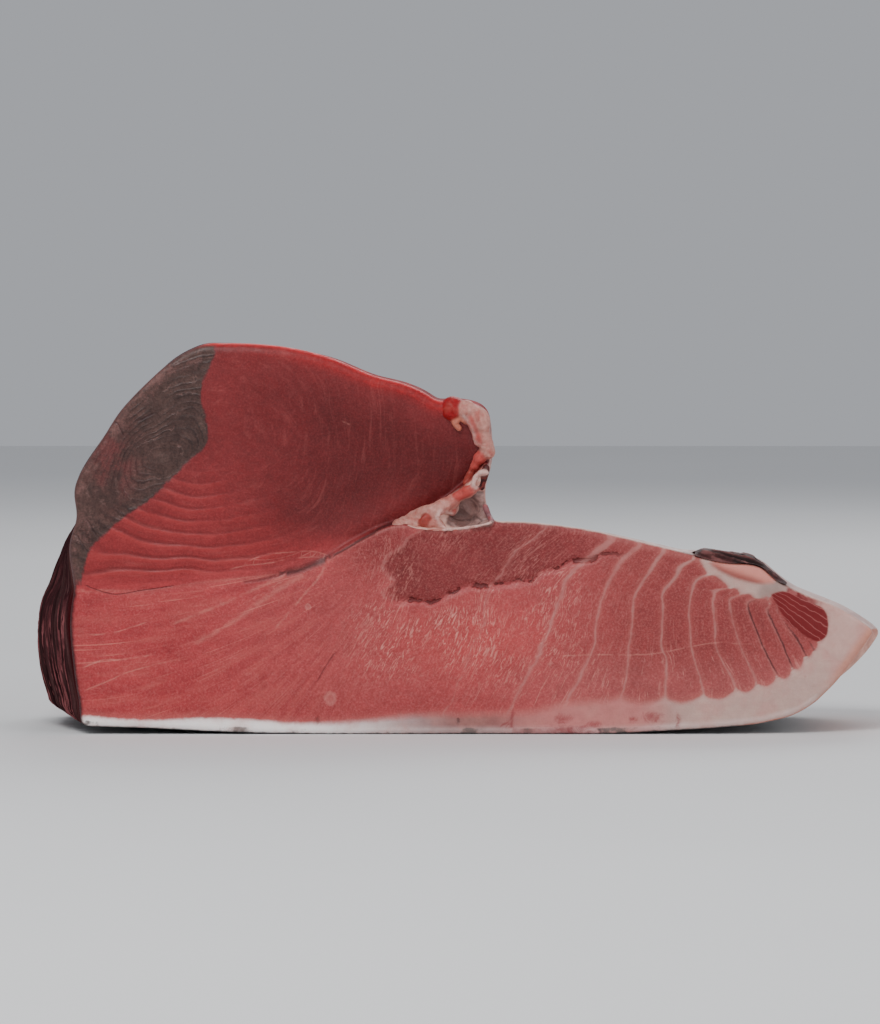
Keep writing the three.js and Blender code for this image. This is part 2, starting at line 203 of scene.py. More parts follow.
# red bruises in the fat: middle in percent of the face, half width and half height in mm
BRUISES = (((61.7, 3.9), 3, 1.9), ((63, 1.6), 6.8, 0.9), ((72.9, 4.6), 3, 2),
           ((70.6, 3.8), 1.5, 1), ((76.2, 3.2), 0.8, 2.5), ((65.7, 2.5), 2.2, 1.2),
           ((92.2, 14.6), 0.6, 0.6))
# pale spots in the belly and the dull blotch of the bloodline, in the same way
SPOTS = (((32.4, 9.3), 3.2, 3.2), ((29.6, 32.7), 1.7, 1.7))
BLOTCH = ((5, 70), 11, 19)


def across(percent):
    return (np.asarray(percent, float) / 100 - 0.5) * FACE_WIDTH


def up(percent):
    return np.asarray(percent, float) / 100 * HEIGHT


def ease(value, low, high):
    """From 0 at low to 1 at high with soft ends. It falls where high is the smaller one."""
    share = np.clip((value - low) / (high - low), 0, 1)
    return share * share * (3 - 2 * share)


def ease_x(x, low, high):
    return ease(x, across(low), across(high))


def ease_z(z, low, high):
    return ease(z, up(low), up(high))


def hump(value, low, high):
    """1 in the middle of low..high, falling smoothly to 0 at both ends."""
    return np.sin(np.clip((value - low) / (high - low), 0, 1) * np.pi) ** 2


def mix(a, b, share):
    return a + (b - a) * share


def apart(x, z, middle, wide, high):
    """Distance from a place of the section, in half widths and half heights (mm) of a mark."""
    return np.hypot((x - across(middle[0])) / wide, (z - up(middle[1])) / high)


# ---------------------------------------------------------------- lines on the section
# points measured at once, and the gap (mm) up to which a line's slope sets the distance
POINTS_AT_ONCE = 8000
SLOPE_WITHIN = 3


def smooth_line(points, steps=20):
    """A dense Catmull-Rom line (mm) through percent points."""
    xs, zs = zip(*points)
    p = np.column_stack([across(xs), up(zs)])
    padded = np.vstack([p[:1], p, p[-1:]])
    t = np.linspace(0, 1, steps, endpoint=False)[:, None]
    spans = [
        (2 * b + (c - a) * t + (2 * a - 5 * b + 4 * c - d) * t ** 2
         + (3 * b - a - 3 * c + d) * t ** 3) / 2
        for a, b, c, d in zip(padded, padded[1:], padded[2:], padded[3:])
    ]
    return np.vstack(spans + [p[-1:]])


def sample(points, shares):
    """Points of a line at the given shares of its length."""
    line = smooth_line(points)
    run = np.concatenate([[0], np.cumsum(np.hypot(*np.diff(line, axis=0).T))])
    at = np.asarray(shares) * run[-1]
    return np.column_stack([np.interp(at, run, line[:, 0]), np.interp(at, run, line[:, 1])])


def offset_from(points, x, z):
    """Signed distance (mm) from a line, positive on its left, share along it, and plain gap."""
    line = smooth_line(points, 10)
    ahead = np.gradient(line, axis=0)
    distance, share, plain = np.empty((3, x.size))
    for start in range(0, x.size, POINTS_AT_ONCE):
        part = slice(start, start + POINTS_AT_ONCE)
        dx = x[part, None] - line[None, :, 0]
        dz = z[part, None] - line[None, :, 1]
        nearest = np.argmin(dx * dx + dz * dz, axis=1)
        row = np.arange(nearest.size)
        near_x, near_z, tangent = dx[row, nearest], dz[row, nearest], ahead[nearest]
        cross = tangent[:, 0] * near_z - tangent[:, 1] * near_x
        length = np.hypot(tangent[:, 0], tangent[:, 1])
        gap = np.hypot(near_x, near_z)
        distance[part] = np.where(gap < SLOPE_WITHIN, cross / length, np.sign(cross) * gap)
        share[part] = nearest / (len(line) - 1)
        plain[part] = gap
    return distance, share, plain


def depth_inside(points, x, z):
    """Distance (mm) from a closed shape's outline, positive inside it."""
    points += points[:1]
    line = smooth_line(points, 12)
    inside = np.zeros(x.size, bool)
    for (ax, az), (bx, bz) in zip(line, line[1:]):
        crosses = (az > z) != (bz > z)
        inside ^= crosses & (x < ax + (z - az) * (bx - ax) / (bz - az if bz != az else 1))
    gap = offset_from(points, x, z)[2]
    return np.where(inside, gap, -gap)


# ---------------------------------------------------------------- the closed outline
EVEN = {steps: np.linspace(0, 1, steps + 1) for steps in
        (BELLY_ROWS, LOIN_ROWS, FOLD_COLUMNS, BELLY_COLUMNS - FOLD_COLUMNS)}
FOLD_SHARES = 1 - (1 - EVEN[FOLD_COLUMNS]) ** CROWDING
WALL_SHARES = EVEN[BELLY_COLUMNS - FOLD_COLUMNS] ** CROWDING
SKIN_SHARES = np.concatenate([FOLD_SHARES * MOUTH_SHARE,
                              mix(MOUTH_SHARE, 1, WALL_SHARES[1:])])

stretches = (
    sample(SKIN, SKIN_SHARES)[:-1],
    sample(BELLY_EDGE, EVEN[BELLY_ROWS])[:-1],
    sample(CAVITY_WALL, WALL_SHARES)[:0:-1],
    sample(LOIN_END, EVEN[LOIN_ROWS])[:-1],
    sample(LOIN_TOP, FOLD_SHARES)[:0:-1],
    sample(OUTER_SIDE_HIGH, EVEN[LOIN_ROWS])[:0:-1],
    sample(OUTER_SIDE_LOW, EVEN[BELLY_ROWS])[:0:-1],
)
(AT_BELLY_EDGE, AT_BELLY_TIP, AT_FOLD_MOUTH, AT_LOIN_RIGHT, AT_LOIN_LEFT, AT_FOLD_OUTER,
 AT_END) = np.cumsum([len(part) for part in stretches])


def relaxed(loop, passes):
    """A closed loop of values, each pass evened out with its neighbours."""
    for _ in range(passes):
        loop = (np.roll(loop, 1, axis=0) + 2 * loop + np.roll(loop, -1, axis=0)) / 4
    return loop


outline = relaxed(np.vstack(stretches), CORNER_PASSES)
index = np.arange(AT_END)
step = np.roll(outline, -1, axis=0) - np.roll(outline, 1, axis=0)
normal = np.column_stack([step[:, 1], -step[:, 0]]) / np.hypot(step[:, 0], step[:, 1])[:, None]
normal = relaxed(normal, CORNER_PASSES)
on_cavity_wall = (index >= AT_BELLY_TIP) & (index <= AT_FOLD_MOUTH)
on_flap = on_cavity_wall & (outline[:, 0] > across(77)) & (outline[:, 0] < across(90))
on_loin_top = (index > AT_LOIN_RIGHT) & (index < AT_LOIN_LEFT)
tip = relaxed(np.abs(index - AT_BELLY_TIP) < 4, ROUNDING_PASSES)
edge_round = mix(EDGE_ROUND, LOIN_RIM_ROUND, relaxed(on_loin_top, ROUNDING_PASSES))
edge_round = mix(edge_round, TIP_ROUND, tip / tip.max())


def back_fall(z):
    """How far each outline point falls from front to back; the wall's neighbours ease into it."""
    loin_fall = LOIN_DROP * ease_z(z, 40, 90)
    edge_fall = WALL_DROP * ease_z(z, 8, 26.6)
    end_fall = mix(WALL_DROP, loin_fall, ease_z(z, 54.5, 81))
    return np.select([index < AT_BELLY_TIP, index <= AT_FOLD_MOUTH, index <= AT_LOIN_RIGHT],
                     [edge_fall, WALL_DROP, end_fall], loin_fall)


def section(depth):
    """The outline at a depth (one value for each point) from 0, front, to 1, back."""
    x, z = outline.T
    wave = SIDE_WAVE * np.sin(depth * np.pi) * np.sin(x / 19 + z / 13 + 5 * depth)
    wave = wave * ease_z(z, 0, 6)
    height_share = ease_z(z, -1, 7) * ease_z(z, 56, 33)
    outer_side = height_share * ease_x(x, 8, 0)
    swell = np.sin(np.minimum(depth / 0.5, 1) * np.pi / 2) - 0.35 * np.maximum(depth - 0.5, 0)
    belly_side = ease_x(x, 85, 94) * ease(depth, 0, 0.35)
    flap = on_cavity_wall * FLAP_HEIGHT * np.sqrt(hump(x, across(77), across(90.5)))
    return np.column_stack([
        x + wave * normal[:, 0] - SIDE_FLARE * outer_side * swell + BELLY_FLARE * belly_side,
        np.maximum(z + wave * normal[:, 1] + flap * ease(depth, 0.08, 0.3)
                   - back_fall(z) * depth, 0),
    ])


# ---------------------------------------------------------------- relief of the cut faces
fold_line = smooth_line(FOLD)
wall_line = smooth_line(CAVITY_WALL)
edge_top_x = np.concatenate([fold_line[:, 0], wall_line[1:, 0]])
edge_top_z = np.concatenate([fold_line[:, 1], wall_line[1:, 1]])


def placed(flat, y):
    """Points (x, y, z) from places on the section and their depths."""
    return np.column_stack([flat[:, 0], y, flat[:, 1]])


def ring_radius(x, z):
    """Radius of the loin's nested muscle rings, flattened on their bloodline side."""
    dx = x - across(RING_CENTRE[0])
    dz = up(RING_CENTRE[1]) - z
    left = 0.6 - 0.6 * ease(dz, 43, 68)
    right = mix(0.55, 1.0, ease(dx, 15, 90))
    return np.hypot(np.where(dx < 0, left * dx, right * dx), dz)


def septum_place(x, z):
    """Where a point lies among the septa: its number, counting between them too, the gap (mm)
    between its two neighbours, square to them, and its fibres' place (mm) at mid height."""
    lines = [smooth_line(septum, 12) for septum in SEPTA]

    def places(height):
        return np.stack([np.interp(height, np.maximum.accumulate(line[:, 1]), line[:, 0])
                         for line in lines])

    here, higher = places(z), places(z + 1)
    before = np.clip((x >= here).sum(axis=0) - 1, 0, len(SEPTA) - 2)
    column = np.arange(x.size)
    gap = np.maximum(here[before + 1, column] - here[before, column], 1)
    share = (x - here[before, column]) / gap
    lean = mix(higher[before, column] - here[before, column],
               higher[before + 1, column] - here[before + 1, column], np.clip(share, 0, 1))
    at_middle = places(np.full(1, up(MIDDLE_HEIGHT)))[:, 0]
    place = before + share
    fibre = np.interp(place, SEPTUM_NUMBERS, at_middle)
    fibre += np.minimum(place, 0) * (at_middle[1] - at_middle[0])
    return place, gap / np.hypot(1, lean), fibre


def flesh_drop(x, z):
    """0 at the top of the belly's flesh, 1 at its foot."""
    top, foot = [np.interp(x, across(column[0]), up(column[1]))
                 for column in (list(zip(*FLESH_TOP)), list(zip(*FLESH_FOOT)))]
    return (top - z) / np.maximum(top - foot, 1)


def band_width(x):
    """Height (mm) of the band of fat above the fold's mouth."""
    return 0.72 * np.maximum(x - across(41.5), 0)


def loin_recess(line, x, z, rise):
    """How far (mm) the loin lies behind the fold, with a pocket and a band at its mouth."""
    above = z - np.interp(x, *line.T)
    hollow = ease_x(x, 25, 51) * mix(FOLD_DEPTH, RIM_RECESS, rise)
    wide = band_width(x)
    band = BAND_RISE * ease(wide - above, -1.5, 1.5) * ease(wide, 0, 6)
    pocket = POCKET_DEPTH * ease(apart(x, z, *POCKET), 1.2, 0.3)
    return ease(above, 0, LIP_WIDTH) * (hollow - band + pocket)


def belly_recess(x, z):
    """How far (mm) the belly's bulge falls back towards its ends."""
    swell = hump(z, up(-10), up(60))
    return 1.5 * (1 - swell) + 4 * ease_x(x, 84, 100)


# ---------------------------------------------------------------- mesh of the block
def fill_patch(bottom, top, left, right):
    """A grid of points blended from a patch's four edges."""
    u = np.linspace(0, 1, len(bottom))[None, :, None]
    v = np.linspace(0, 1, len(left))[:, None, None]
    between = bottom[None] * (1 - v) + top[None] * v
    sides = left[:, None] * (1 - u) + right[:, None] * u
    corners = (bottom[0] * (1 - u) * (1 - v) + bottom[-1] * u * (1 - v)
               + top[0] * (1 - u) * v + top[-1] * u * v)
    return between + sides - corners


def grid_quads(ids):
    """One quad for each cell of a grid of vertex numbers."""
    corners = (ids[:-1, :-1], ids[:-1, 1:], ids[1:, 1:], ids[1:, :-1])
    return np.stack([part.ravel() for part in corners], axis=1)


def cut_face(rim, first, side, relief):
    """Points (x, y, z) of a cut face, its quads, and the vertex numbers of its rim."""
    fold_ends = [AT_FOLD_OUTER, AT_FOLD_MOUTH]
    outer_shift, mouth_shift = rim[fold_ends] - outline[fold_ends]
    line = sample(FOLD, FOLD_SHARES)
    line += outer_shift * ease(FOLD_SHARES, OUTER_BEND, 0)[:, None]
    line += mouth_shift * ease(FOLD_SHARES, MOUTH_BEND[side], 1)[:, None]
    line[[0, -1]] = rim[fold_ends]
    lip = fold_line if side < 0 else line
    loop = np.vstack([rim, rim[:1]])
    belly = fill_patch(
        loop[:AT_BELLY_EDGE + 1],
        np.vstack([line, loop[AT_BELLY_TIP:AT_FOLD_MOUTH][::-1]]),
        loop[AT_FOLD_OUTER:][::-1],
        loop[AT_BELLY_EDGE:AT_BELLY_TIP + 1],
    )
    loin = fill_patch(
        line,
        loop[AT_LOIN_RIGHT:AT_LOIN_LEFT + 1][::-1],
        loop[AT_LOIN_LEFT:AT_FOLD_OUTER + 1][::-1],
        loop[AT_FOLD_MOUTH:AT_LOIN_RIGHT + 1],
    )
    rise = np.repeat(np.linspace(1 / LOIN_ROWS, 1, LOIN_ROWS), len(line))
    low, high = belly.reshape(-1, 2), loin[1:].reshape(-1, 2)
    recess = np.concatenate([belly_recess(*low.T), loin_recess(lip, *high.T, rise)])
    ids = first + np.arange(len(low) + len(high))
    belly_ids = ids[:len(low)].reshape(belly.shape[:2])
    loin_ids = np.vstack([belly_ids[-1, :len(line)], ids[len(low):].reshape(LOIN_ROWS, -1)])
    quads = np.vstack([grid_quads(belly_ids), grid_quads(loin_ids)])[:, ::-side]
    rim_ids = np.concatenate([
        belly_ids[0, :-1], belly_ids[:-1, -1], belly_ids[-1, FOLD_COLUMNS + 1:][::-1],
        loin_ids[:-1, -1], loin_ids[-1, 1:][::-1], loin_ids[1:, 0][::-1],
        belly_ids[1:, 0][::-1],
    ])
    flat = np.vstack([low, high])
    return placed(flat, side * (THICKNESS / 2 - relief * recess)), quads, rim_ids


def lumps(points, size, octaves, seed=0.0):
    """Smooth noise between about -1 and 1 with bumps of the given size (mm)."""
    offset = Vector((seed, seed, seed))
    return np.array([noise.fractal(Vector(p) / size + offset, 1.0, 2.0, octaves)
                     for p in points])


# ---------------------------------------------------------------- what shows on a cut face
RING_PITCH = 5.9
RIDGE_HEIGHT = 0.42
BLOOD_PITCH = 2.2
CRACK_DEPTH = 1.8
# where the back face reads its marks: moved by this much (mm), and a little lower
BACK_DRIFT = (3.5, 1.0)
BACK_SQUEEZE = 0.985
# how far above the fold the loin's marks start (mm)
JUST_ABOVE = 0.05
# values for where a mark or a layer doesn't reach (mm)
NO_MARK = 99.0
NO_LAYER = -9.0


def thin_marks(lines, x, z):
    """For a set of thin lines: signed distance to the nearest, its half width and strength."""
    nearest, closest = np.full(x.size, NO_MARK), np.full(x.size, np.inf)
    half, power = np.full(x.size, 0.3), np.zeros(x.size)
    for width, strength, line in lines:
        distance, share, gap = offset_from(line, x, z)
        closer = gap < closest
        ends = ease(share, 0, 0.06) * ease(share, 1, 0.93)
        near = ease(gap, 4.5, 3)
        nearest = np.where(closer, distance, nearest)
        half = np.where(closer, width, half)
        power = np.where(closer, strength * ends * near, power)
        closest = np.minimum(closest, gap)
    return nearest, half, power


def oval_radius(x, z):
    """Size of the bloodline's own rings: small flat ovals that turn and stretch outwards."""
    dx, dz = x - across(BLOOD_CENTRE[0]), z - up(BLOOD_CENTRE[1])
    turn = np.radians(mix(18, 48, ease(np.hypot(dx, dz), 5, 26)))
    along = dx * np.cos(turn) + dz * np.sin(turn)
    crosswise = dz * np.cos(turn) - dx * np.sin(turn)
    return np.hypot(along / 1.9, crosswise)


def face_fields(points, side):
    """What shows at each place of a cut face. Distances in mm, weights from 0 to 1."""
    x, z = points[:, 0], points[:, 2]
    if side > 0:
        fall = ease_x(x, 42, 53) * ease_z(z, 5, 24) * ease_z(z, 80, 54)
        x, z = x + BACK_DRIFT[0], z * BACK_SQUEEZE + BACK_DRIFT[1] + WALL_DROP * fall
    f = SimpleNamespace(x=x, z=z)
    f.above = z - np.interp(x, edge_top_x, edge_top_z)
    f.loin = ((f.above > JUST_ABOVE) & (x < across(53.5))).astype(float)
    f.belly = 1 - f.loin
    f.blood = -offset_from(BLOODLINE_EDGE, x, z)[0]
    f.fat = -offset_from(FAT_EDGE, x, z)[0]
    f.crack, f.crack_share, f.crack_gap = offset_from(TORN_CRACK, x, z)
    f.membrane, f.membrane_share, _ = offset_from(MEMBRANE, x, z)
    f.bundle = depth_inside(BUNDLE, x, z)
    f.pad = depth_inside(PAD, x, z)
    f.hollow = depth_inside(HOLLOW, x, z)
    f.band = band_width(x) - f.above
    f.rim_gap = offset_from(LOIN_TOP, x, z)[2]
    f.skin_up = z - np.interp(x, *smooth_line(SKIN, 6).T)
    f.rind_gap = offset_from(BELLY_EDGE, x, z)[2]
    f.septum, f.gap, f.fibre = septum_place(x, z)
    f.drop = flesh_drop(x, z)
    sway = lumps(points, 28, 2)
    f.ring = ring_radius(x, z) / RING_PITCH - 0.45 + 0.4 * sway
    f.oval = oval_radius(x, z) / BLOOD_PITCH + 0.6 * sway + 0.22 * lumps(points, 9, 2, 1.7)
    below = up(RING_CENTRE[1]) - z
    reach = across(mix(21, 36, ease(below, 25, 80)))
    ridges = mix(1.0, 0.06, ease(x, reach - 50, reach + 20))
    ridges *= ease(below, 10, 26) * ease(f.above, 0, 7)
    ridges *= ease(lumps(points, 16, 2, 5.5), -1.1, 0.1)
    f.ridges = f.loin * ridges * ease(f.blood, 2, -1)
    f.dark_muscle = ease(f.crack, -0.5, 1.5) * ease(f.membrane, -0.5, 1.5)
    f.dark_muscle *= f.belly * ease_x(x, 38, 41) * ease_x(x, 72, 58)
    return f


def ridge_profile(phase):
    """Shingled ridges: a steep upper face, a slow fall, then a narrow groove."""
    share = phase % 1
    return ease(share, 0, 0.22) * (1 - share) ** 0.9


def face_relief(points, f):
    """Height (mm) of the fine relief of a cut face."""
    height = RIDGE_HEIGHT * f.ridges * ridge_profile(f.ring)
    fine = 0.08 * ease(lumps(points, 12, 2, 2.2), -0.4, 0.3)
    height += fine * ease(f.blood, 0, 2) * f.loin * np.cos(f.oval * 2 * np.pi)
    height += 0.5 * lumps(points, 24, 2, 3.1) + 0.14 * lumps(points, 5, 2, 7.7)
    height += 0.12 * lumps(points, 2.2, 2, 4.4) * ease(f.blood, -1, 1) * f.loin
    ends = ease(f.crack_share, 0, 0.05) * ease(f.crack_share, 1, 0.8)
    torn = f.crack_gap - 0.5 * np.abs(lumps(points, 6, 2, 9.2))
    height -= CRACK_DEPTH * np.exp(-(torn / 0.9) ** 2) * ends * f.belly
    height -= 0.7 * f.dark_muscle
    height += 0.5 * np.exp(-(f.membrane / 1.4) ** 2) * f.belly
    height -= 0.5 * ease(f.blood, -0.4, 0.8) * f.loin
    height += 0.35 * ease(f.fat, -1, 1)
    height += 1.3 * ease(f.pad, -0.8, 3.5) + 0.6 * ease(f.bundle, -0.6, 1)
    return height


# ---------------------------------------------------------------- colours (sRGB, 0 to 255)
# loin tones, partly its own colour and partly painted light: the deep tone also serves as painted
# shade in the recess and along the fold, the low tone as painted light on the lower left
LOIN_DEEP_AND_SHADE = (88, 15, 18)
LOIN_MID = (121, 38, 40)
LOIN_LOW = (144, 44, 46)
# the rim's red: partly the fresh red of the rounded top edge, partly a painted highlight where it
# faces the light
LOIN_RIM_AND_HIGHLIGHT = (196, 10, 15)
BELLY = (164, 66, 67)
BELLY_LEFT = (170, 58, 61)
BELLY_FAR = (144, 59, 58)
BELLY_PALE = (182, 98, 96)
BELLY_MARBLED = (196, 70, 68)
DARK_MUSCLE = (106, 28, 29)
FAT_LEFT = (255, 247, 244)
FAT_MIDDLE = (136, 90, 86)
FAT_PINK = (190, 118, 114)
FAT_RIGHT = (194, 160, 150)
FAT_TIP = (202, 162, 152)
FAT_MEMBRANE = (160, 134, 126)
PAD_PINK = (216, 138, 124)
PAD_SHADE = (160, 86, 78)
# how many outline points of the skin, next to the belly's edge, take its colour
RIND_POINTS = 26
EDGE_COLORS = {
    "skin": (48, 44, 46), "belly_edge": (200, 132, 110), "cavity_wall": (206, 166, 154),
    "flap": (84, 44, 42), "loin_end": (200, 150, 138), "loin_top": (204, 18, 24),
    "high_side": (92, 60, 58), "low_side": (66, 18, 22),
}


def linear(color):
    c = np.asarray(color, float) / 255
    return np.where(c <= 0.04045, c / 12.92, ((c + 0.055) / 1.055) ** 2.4)


def layered(base, *layers):
    """Flat colours laid over each other in turn, each with its share at each point."""
    tone = linear(base)
    for color, share in layers:
        tone = mix(tone, linear(color), share[:, None])
    return tone


def flesh_tone(f):
    """The flesh's base colour, before lines, blood and fat. On the loin it holds painted shade and
    painted light.
    """
    x, z, loin, above = f.x, f.z, f.loin, f.above
    marbled = hump(x, across(32), across(68)) * hump(z, up(8), up(42))
    crest = f.belly * ease_x(x, 32, 38) * ease_x(x, 44, 41) * ease_z(z, 34, 48)
    # the lighter low tone reaches far up the loin on the left: partly its colour, partly painted
    # light where the face turns up
    rise = mix(58, 1, ease_x(x, 20, 38))
    # painted shadow along the fold's crease
    fold_shade = ease_x(x, 22, 30) * np.exp(-(above / 3) ** 2)
    # the loin's middle: partly its deeper colour, partly painted shade of the recess
    centre_tone_and_shade = ease_x(x, 14, 36) * ease(above, 4, 26) * ease(f.rim_gap, 2, 26)
    # the rim's red band: partly its own red, partly a painted highlight on the rounded top edge
    rim = ease_x(x, 18, 32) * ease(f.rim_gap, 9, 1)
    return layered(
        BELLY, (BELLY_LEFT, ease_x(x, 34, 8)), (BELLY_FAR, ease_x(x, 58, 72)),
        (BELLY_PALE, 0.4 * ease_x(x, 50, 66) * ease_z(z, 24, 12)),
        (BELLY_MARBLED, 0.45 * marbled), (DARK_MUSCLE, 0.65 * crest),
        (DARK_MUSCLE, 0.75 * f.dark_muscle), (LOIN_LOW, loin * ease(above, 0, 8)),
        (LOIN_MID, loin * ease(above, 0.25 * rise, rise)), (LOIN_DEEP_AND_SHADE, 0.6 * loin * fold_shade),
        (LOIN_DEEP_AND_SHADE, 0.85 * loin * centre_tone_and_shade), (LOIN_RIM_AND_HIGHLIGHT, 0.35 * loin * rim),
    )


def fat_tone(f):
    """The fat's colour, before its bruises."""
    x, z = f.x, f.z
    near_pad = ease(f.pad, -11, -3) * ease(f.bundle, -9, -3) * ease_x(x, 92, 89)
    return layered(
        FAT_LEFT, (FAT_MIDDLE, ease_x(x, 26, 50)),
        (FAT_PINK, ease_x(x, 50, 60) * ease_x(x, 78, 73)), (FAT_RIGHT, ease_x(x, 70, 79)),
        (FAT_LEFT, 0.3 * ease(f.skin_up, 4.5, 1.5)),
        (FAT_TIP, ease_x(x, 90, 98) * ease_z(z, 10, 24)), (FAT_MEMBRANE, near_pad),
        (EDGE_COLORS["belly_edge"], 0.9 * ease(f.rind_gap, 5.5, 1.5) * ease_z(z, 10, 18)),
    )


# ---------------------------------------------------------------- the block's arrays
def build_arrays():
    """Vertices, quads, the cut-face vertex each one takes its fields from, and its reach."""
    rims = [section(np.full(AT_END, depth)) - normal * edge_round[:, None] for depth in (0.0, 1.0)]
    front, front_quads, front_ids = cut_face(rims[0], 0, -1, 1.0)
    back, back_quads, back_ids = cut_face(rims[1], len(front), 1, BACK_RELIEF)
    fields = [face_fields(front, -1), face_fields(back, 1)]
    front[:, 1] -= face_relief(front, fields[0])
    back[:, 1] += face_relief(back, fields[1])
    faces = np.vstack([front, back])

    turns = np.linspace(0, np.pi / 2, ROUND_STEPS + 1)[1:]
    start = [(edge_round * (1 - np.cos(a)) / THICKNESS, edge_round * (1 - np.sin(a)))
             for a in turns]
    inner = np.linspace(0, 1, DEPTH_STEPS + 1)[1:-1]
    middle = [(mix(start[-1][0], 1 - start[-1][0], share), 0 * edge_round) for share in inner]
    steps = start + middle + [(1 - depth, inset) for depth, inset in start[::-1]]
    hoops, origin, reach, turned = [], [], [], []
    for number, (depth, inset) in enumerate(steps):
        flat = section(depth) - normal * inset[:, None]
        y = mix(faces[front_ids, 1], faces[back_ids, 1], depth)
        hoops.append(placed(flat, y))
        origin.append(np.where(depth < 0.5, front_ids, back_ids))
        reach.append(np.minimum(depth, 1 - depth) * THICKNESS)
        from_face = min(number, len(steps) - 1 - number)
        turned.append(np.full(AT_END, min((from_face + 1) / ROUND_STEPS, 1)))
    hoop_ids = [len(faces) + number * AT_END + index for number in range(len(hoops))]
    ids = [front_ids, *hoop_ids, back_ids]
    sides = [np.stack([np.roll(near, -1), near, far, np.roll(far, -1)], axis=1)
             for near, far in zip(ids, ids[1:])]
    nothing = np.zeros(len(faces))
    return SimpleNamespace(
        points=np.vstack([faces, *hoops]), fields=fields,
        quads=np.vstack([front_quads, back_quads, *sides]),
        face_quads=len(front_quads) + len(back_quads), bands=len(sides),
        origin=np.concatenate([np.arange(len(faces)), *origin]),
        reach=np.concatenate([nothing, *reach]), turned=np.concatenate([nothing, *turned]),
        rim_ids=(front_ids, back_ids), faces=len(faces), front=len(front),
    )


block = build_arrays()
points = block.points
shift = -(points.min(axis=0) + points.max(axis=0)) / 2
shift[2] = -points[:, 2].min()
front_face = points[:block.front]


def surface_depth(x, z):
    """y (mm) of the front cut face at a place of the section."""
    return front_face[np.argmin(np.hypot(front_face[:, 0] - x, front_face[:, 2] - z)), 1]


def edge_tone():
    """Colour of the block's edge for each point of the outline."""
    masks = {
        "belly_edge": (index >= AT_BELLY_EDGE - RIND_POINTS) & (index < AT_BELLY_TIP),
        "cavity_wall": on_cavity_wall, "flap": on_flap,
        "loin_end": (index > AT_FOLD_MOUTH) & (index <= AT_LOIN_RIGHT),
        "loin_top": on_loin_top,
        "high_side": (index >= AT_LOIN_LEFT) & (index < AT_FOLD_OUTER),
        "low_side": index >= AT_FOLD_OUTER,
    }
    tone = np.repeat(linear(EDGE_COLORS["skin"])[None], AT_END, axis=0)
    for name, mask in masks.items():
        tone[mask] = linear(EDGE_COLORS[name])
    return relaxed(tone, TONE_PASSES)


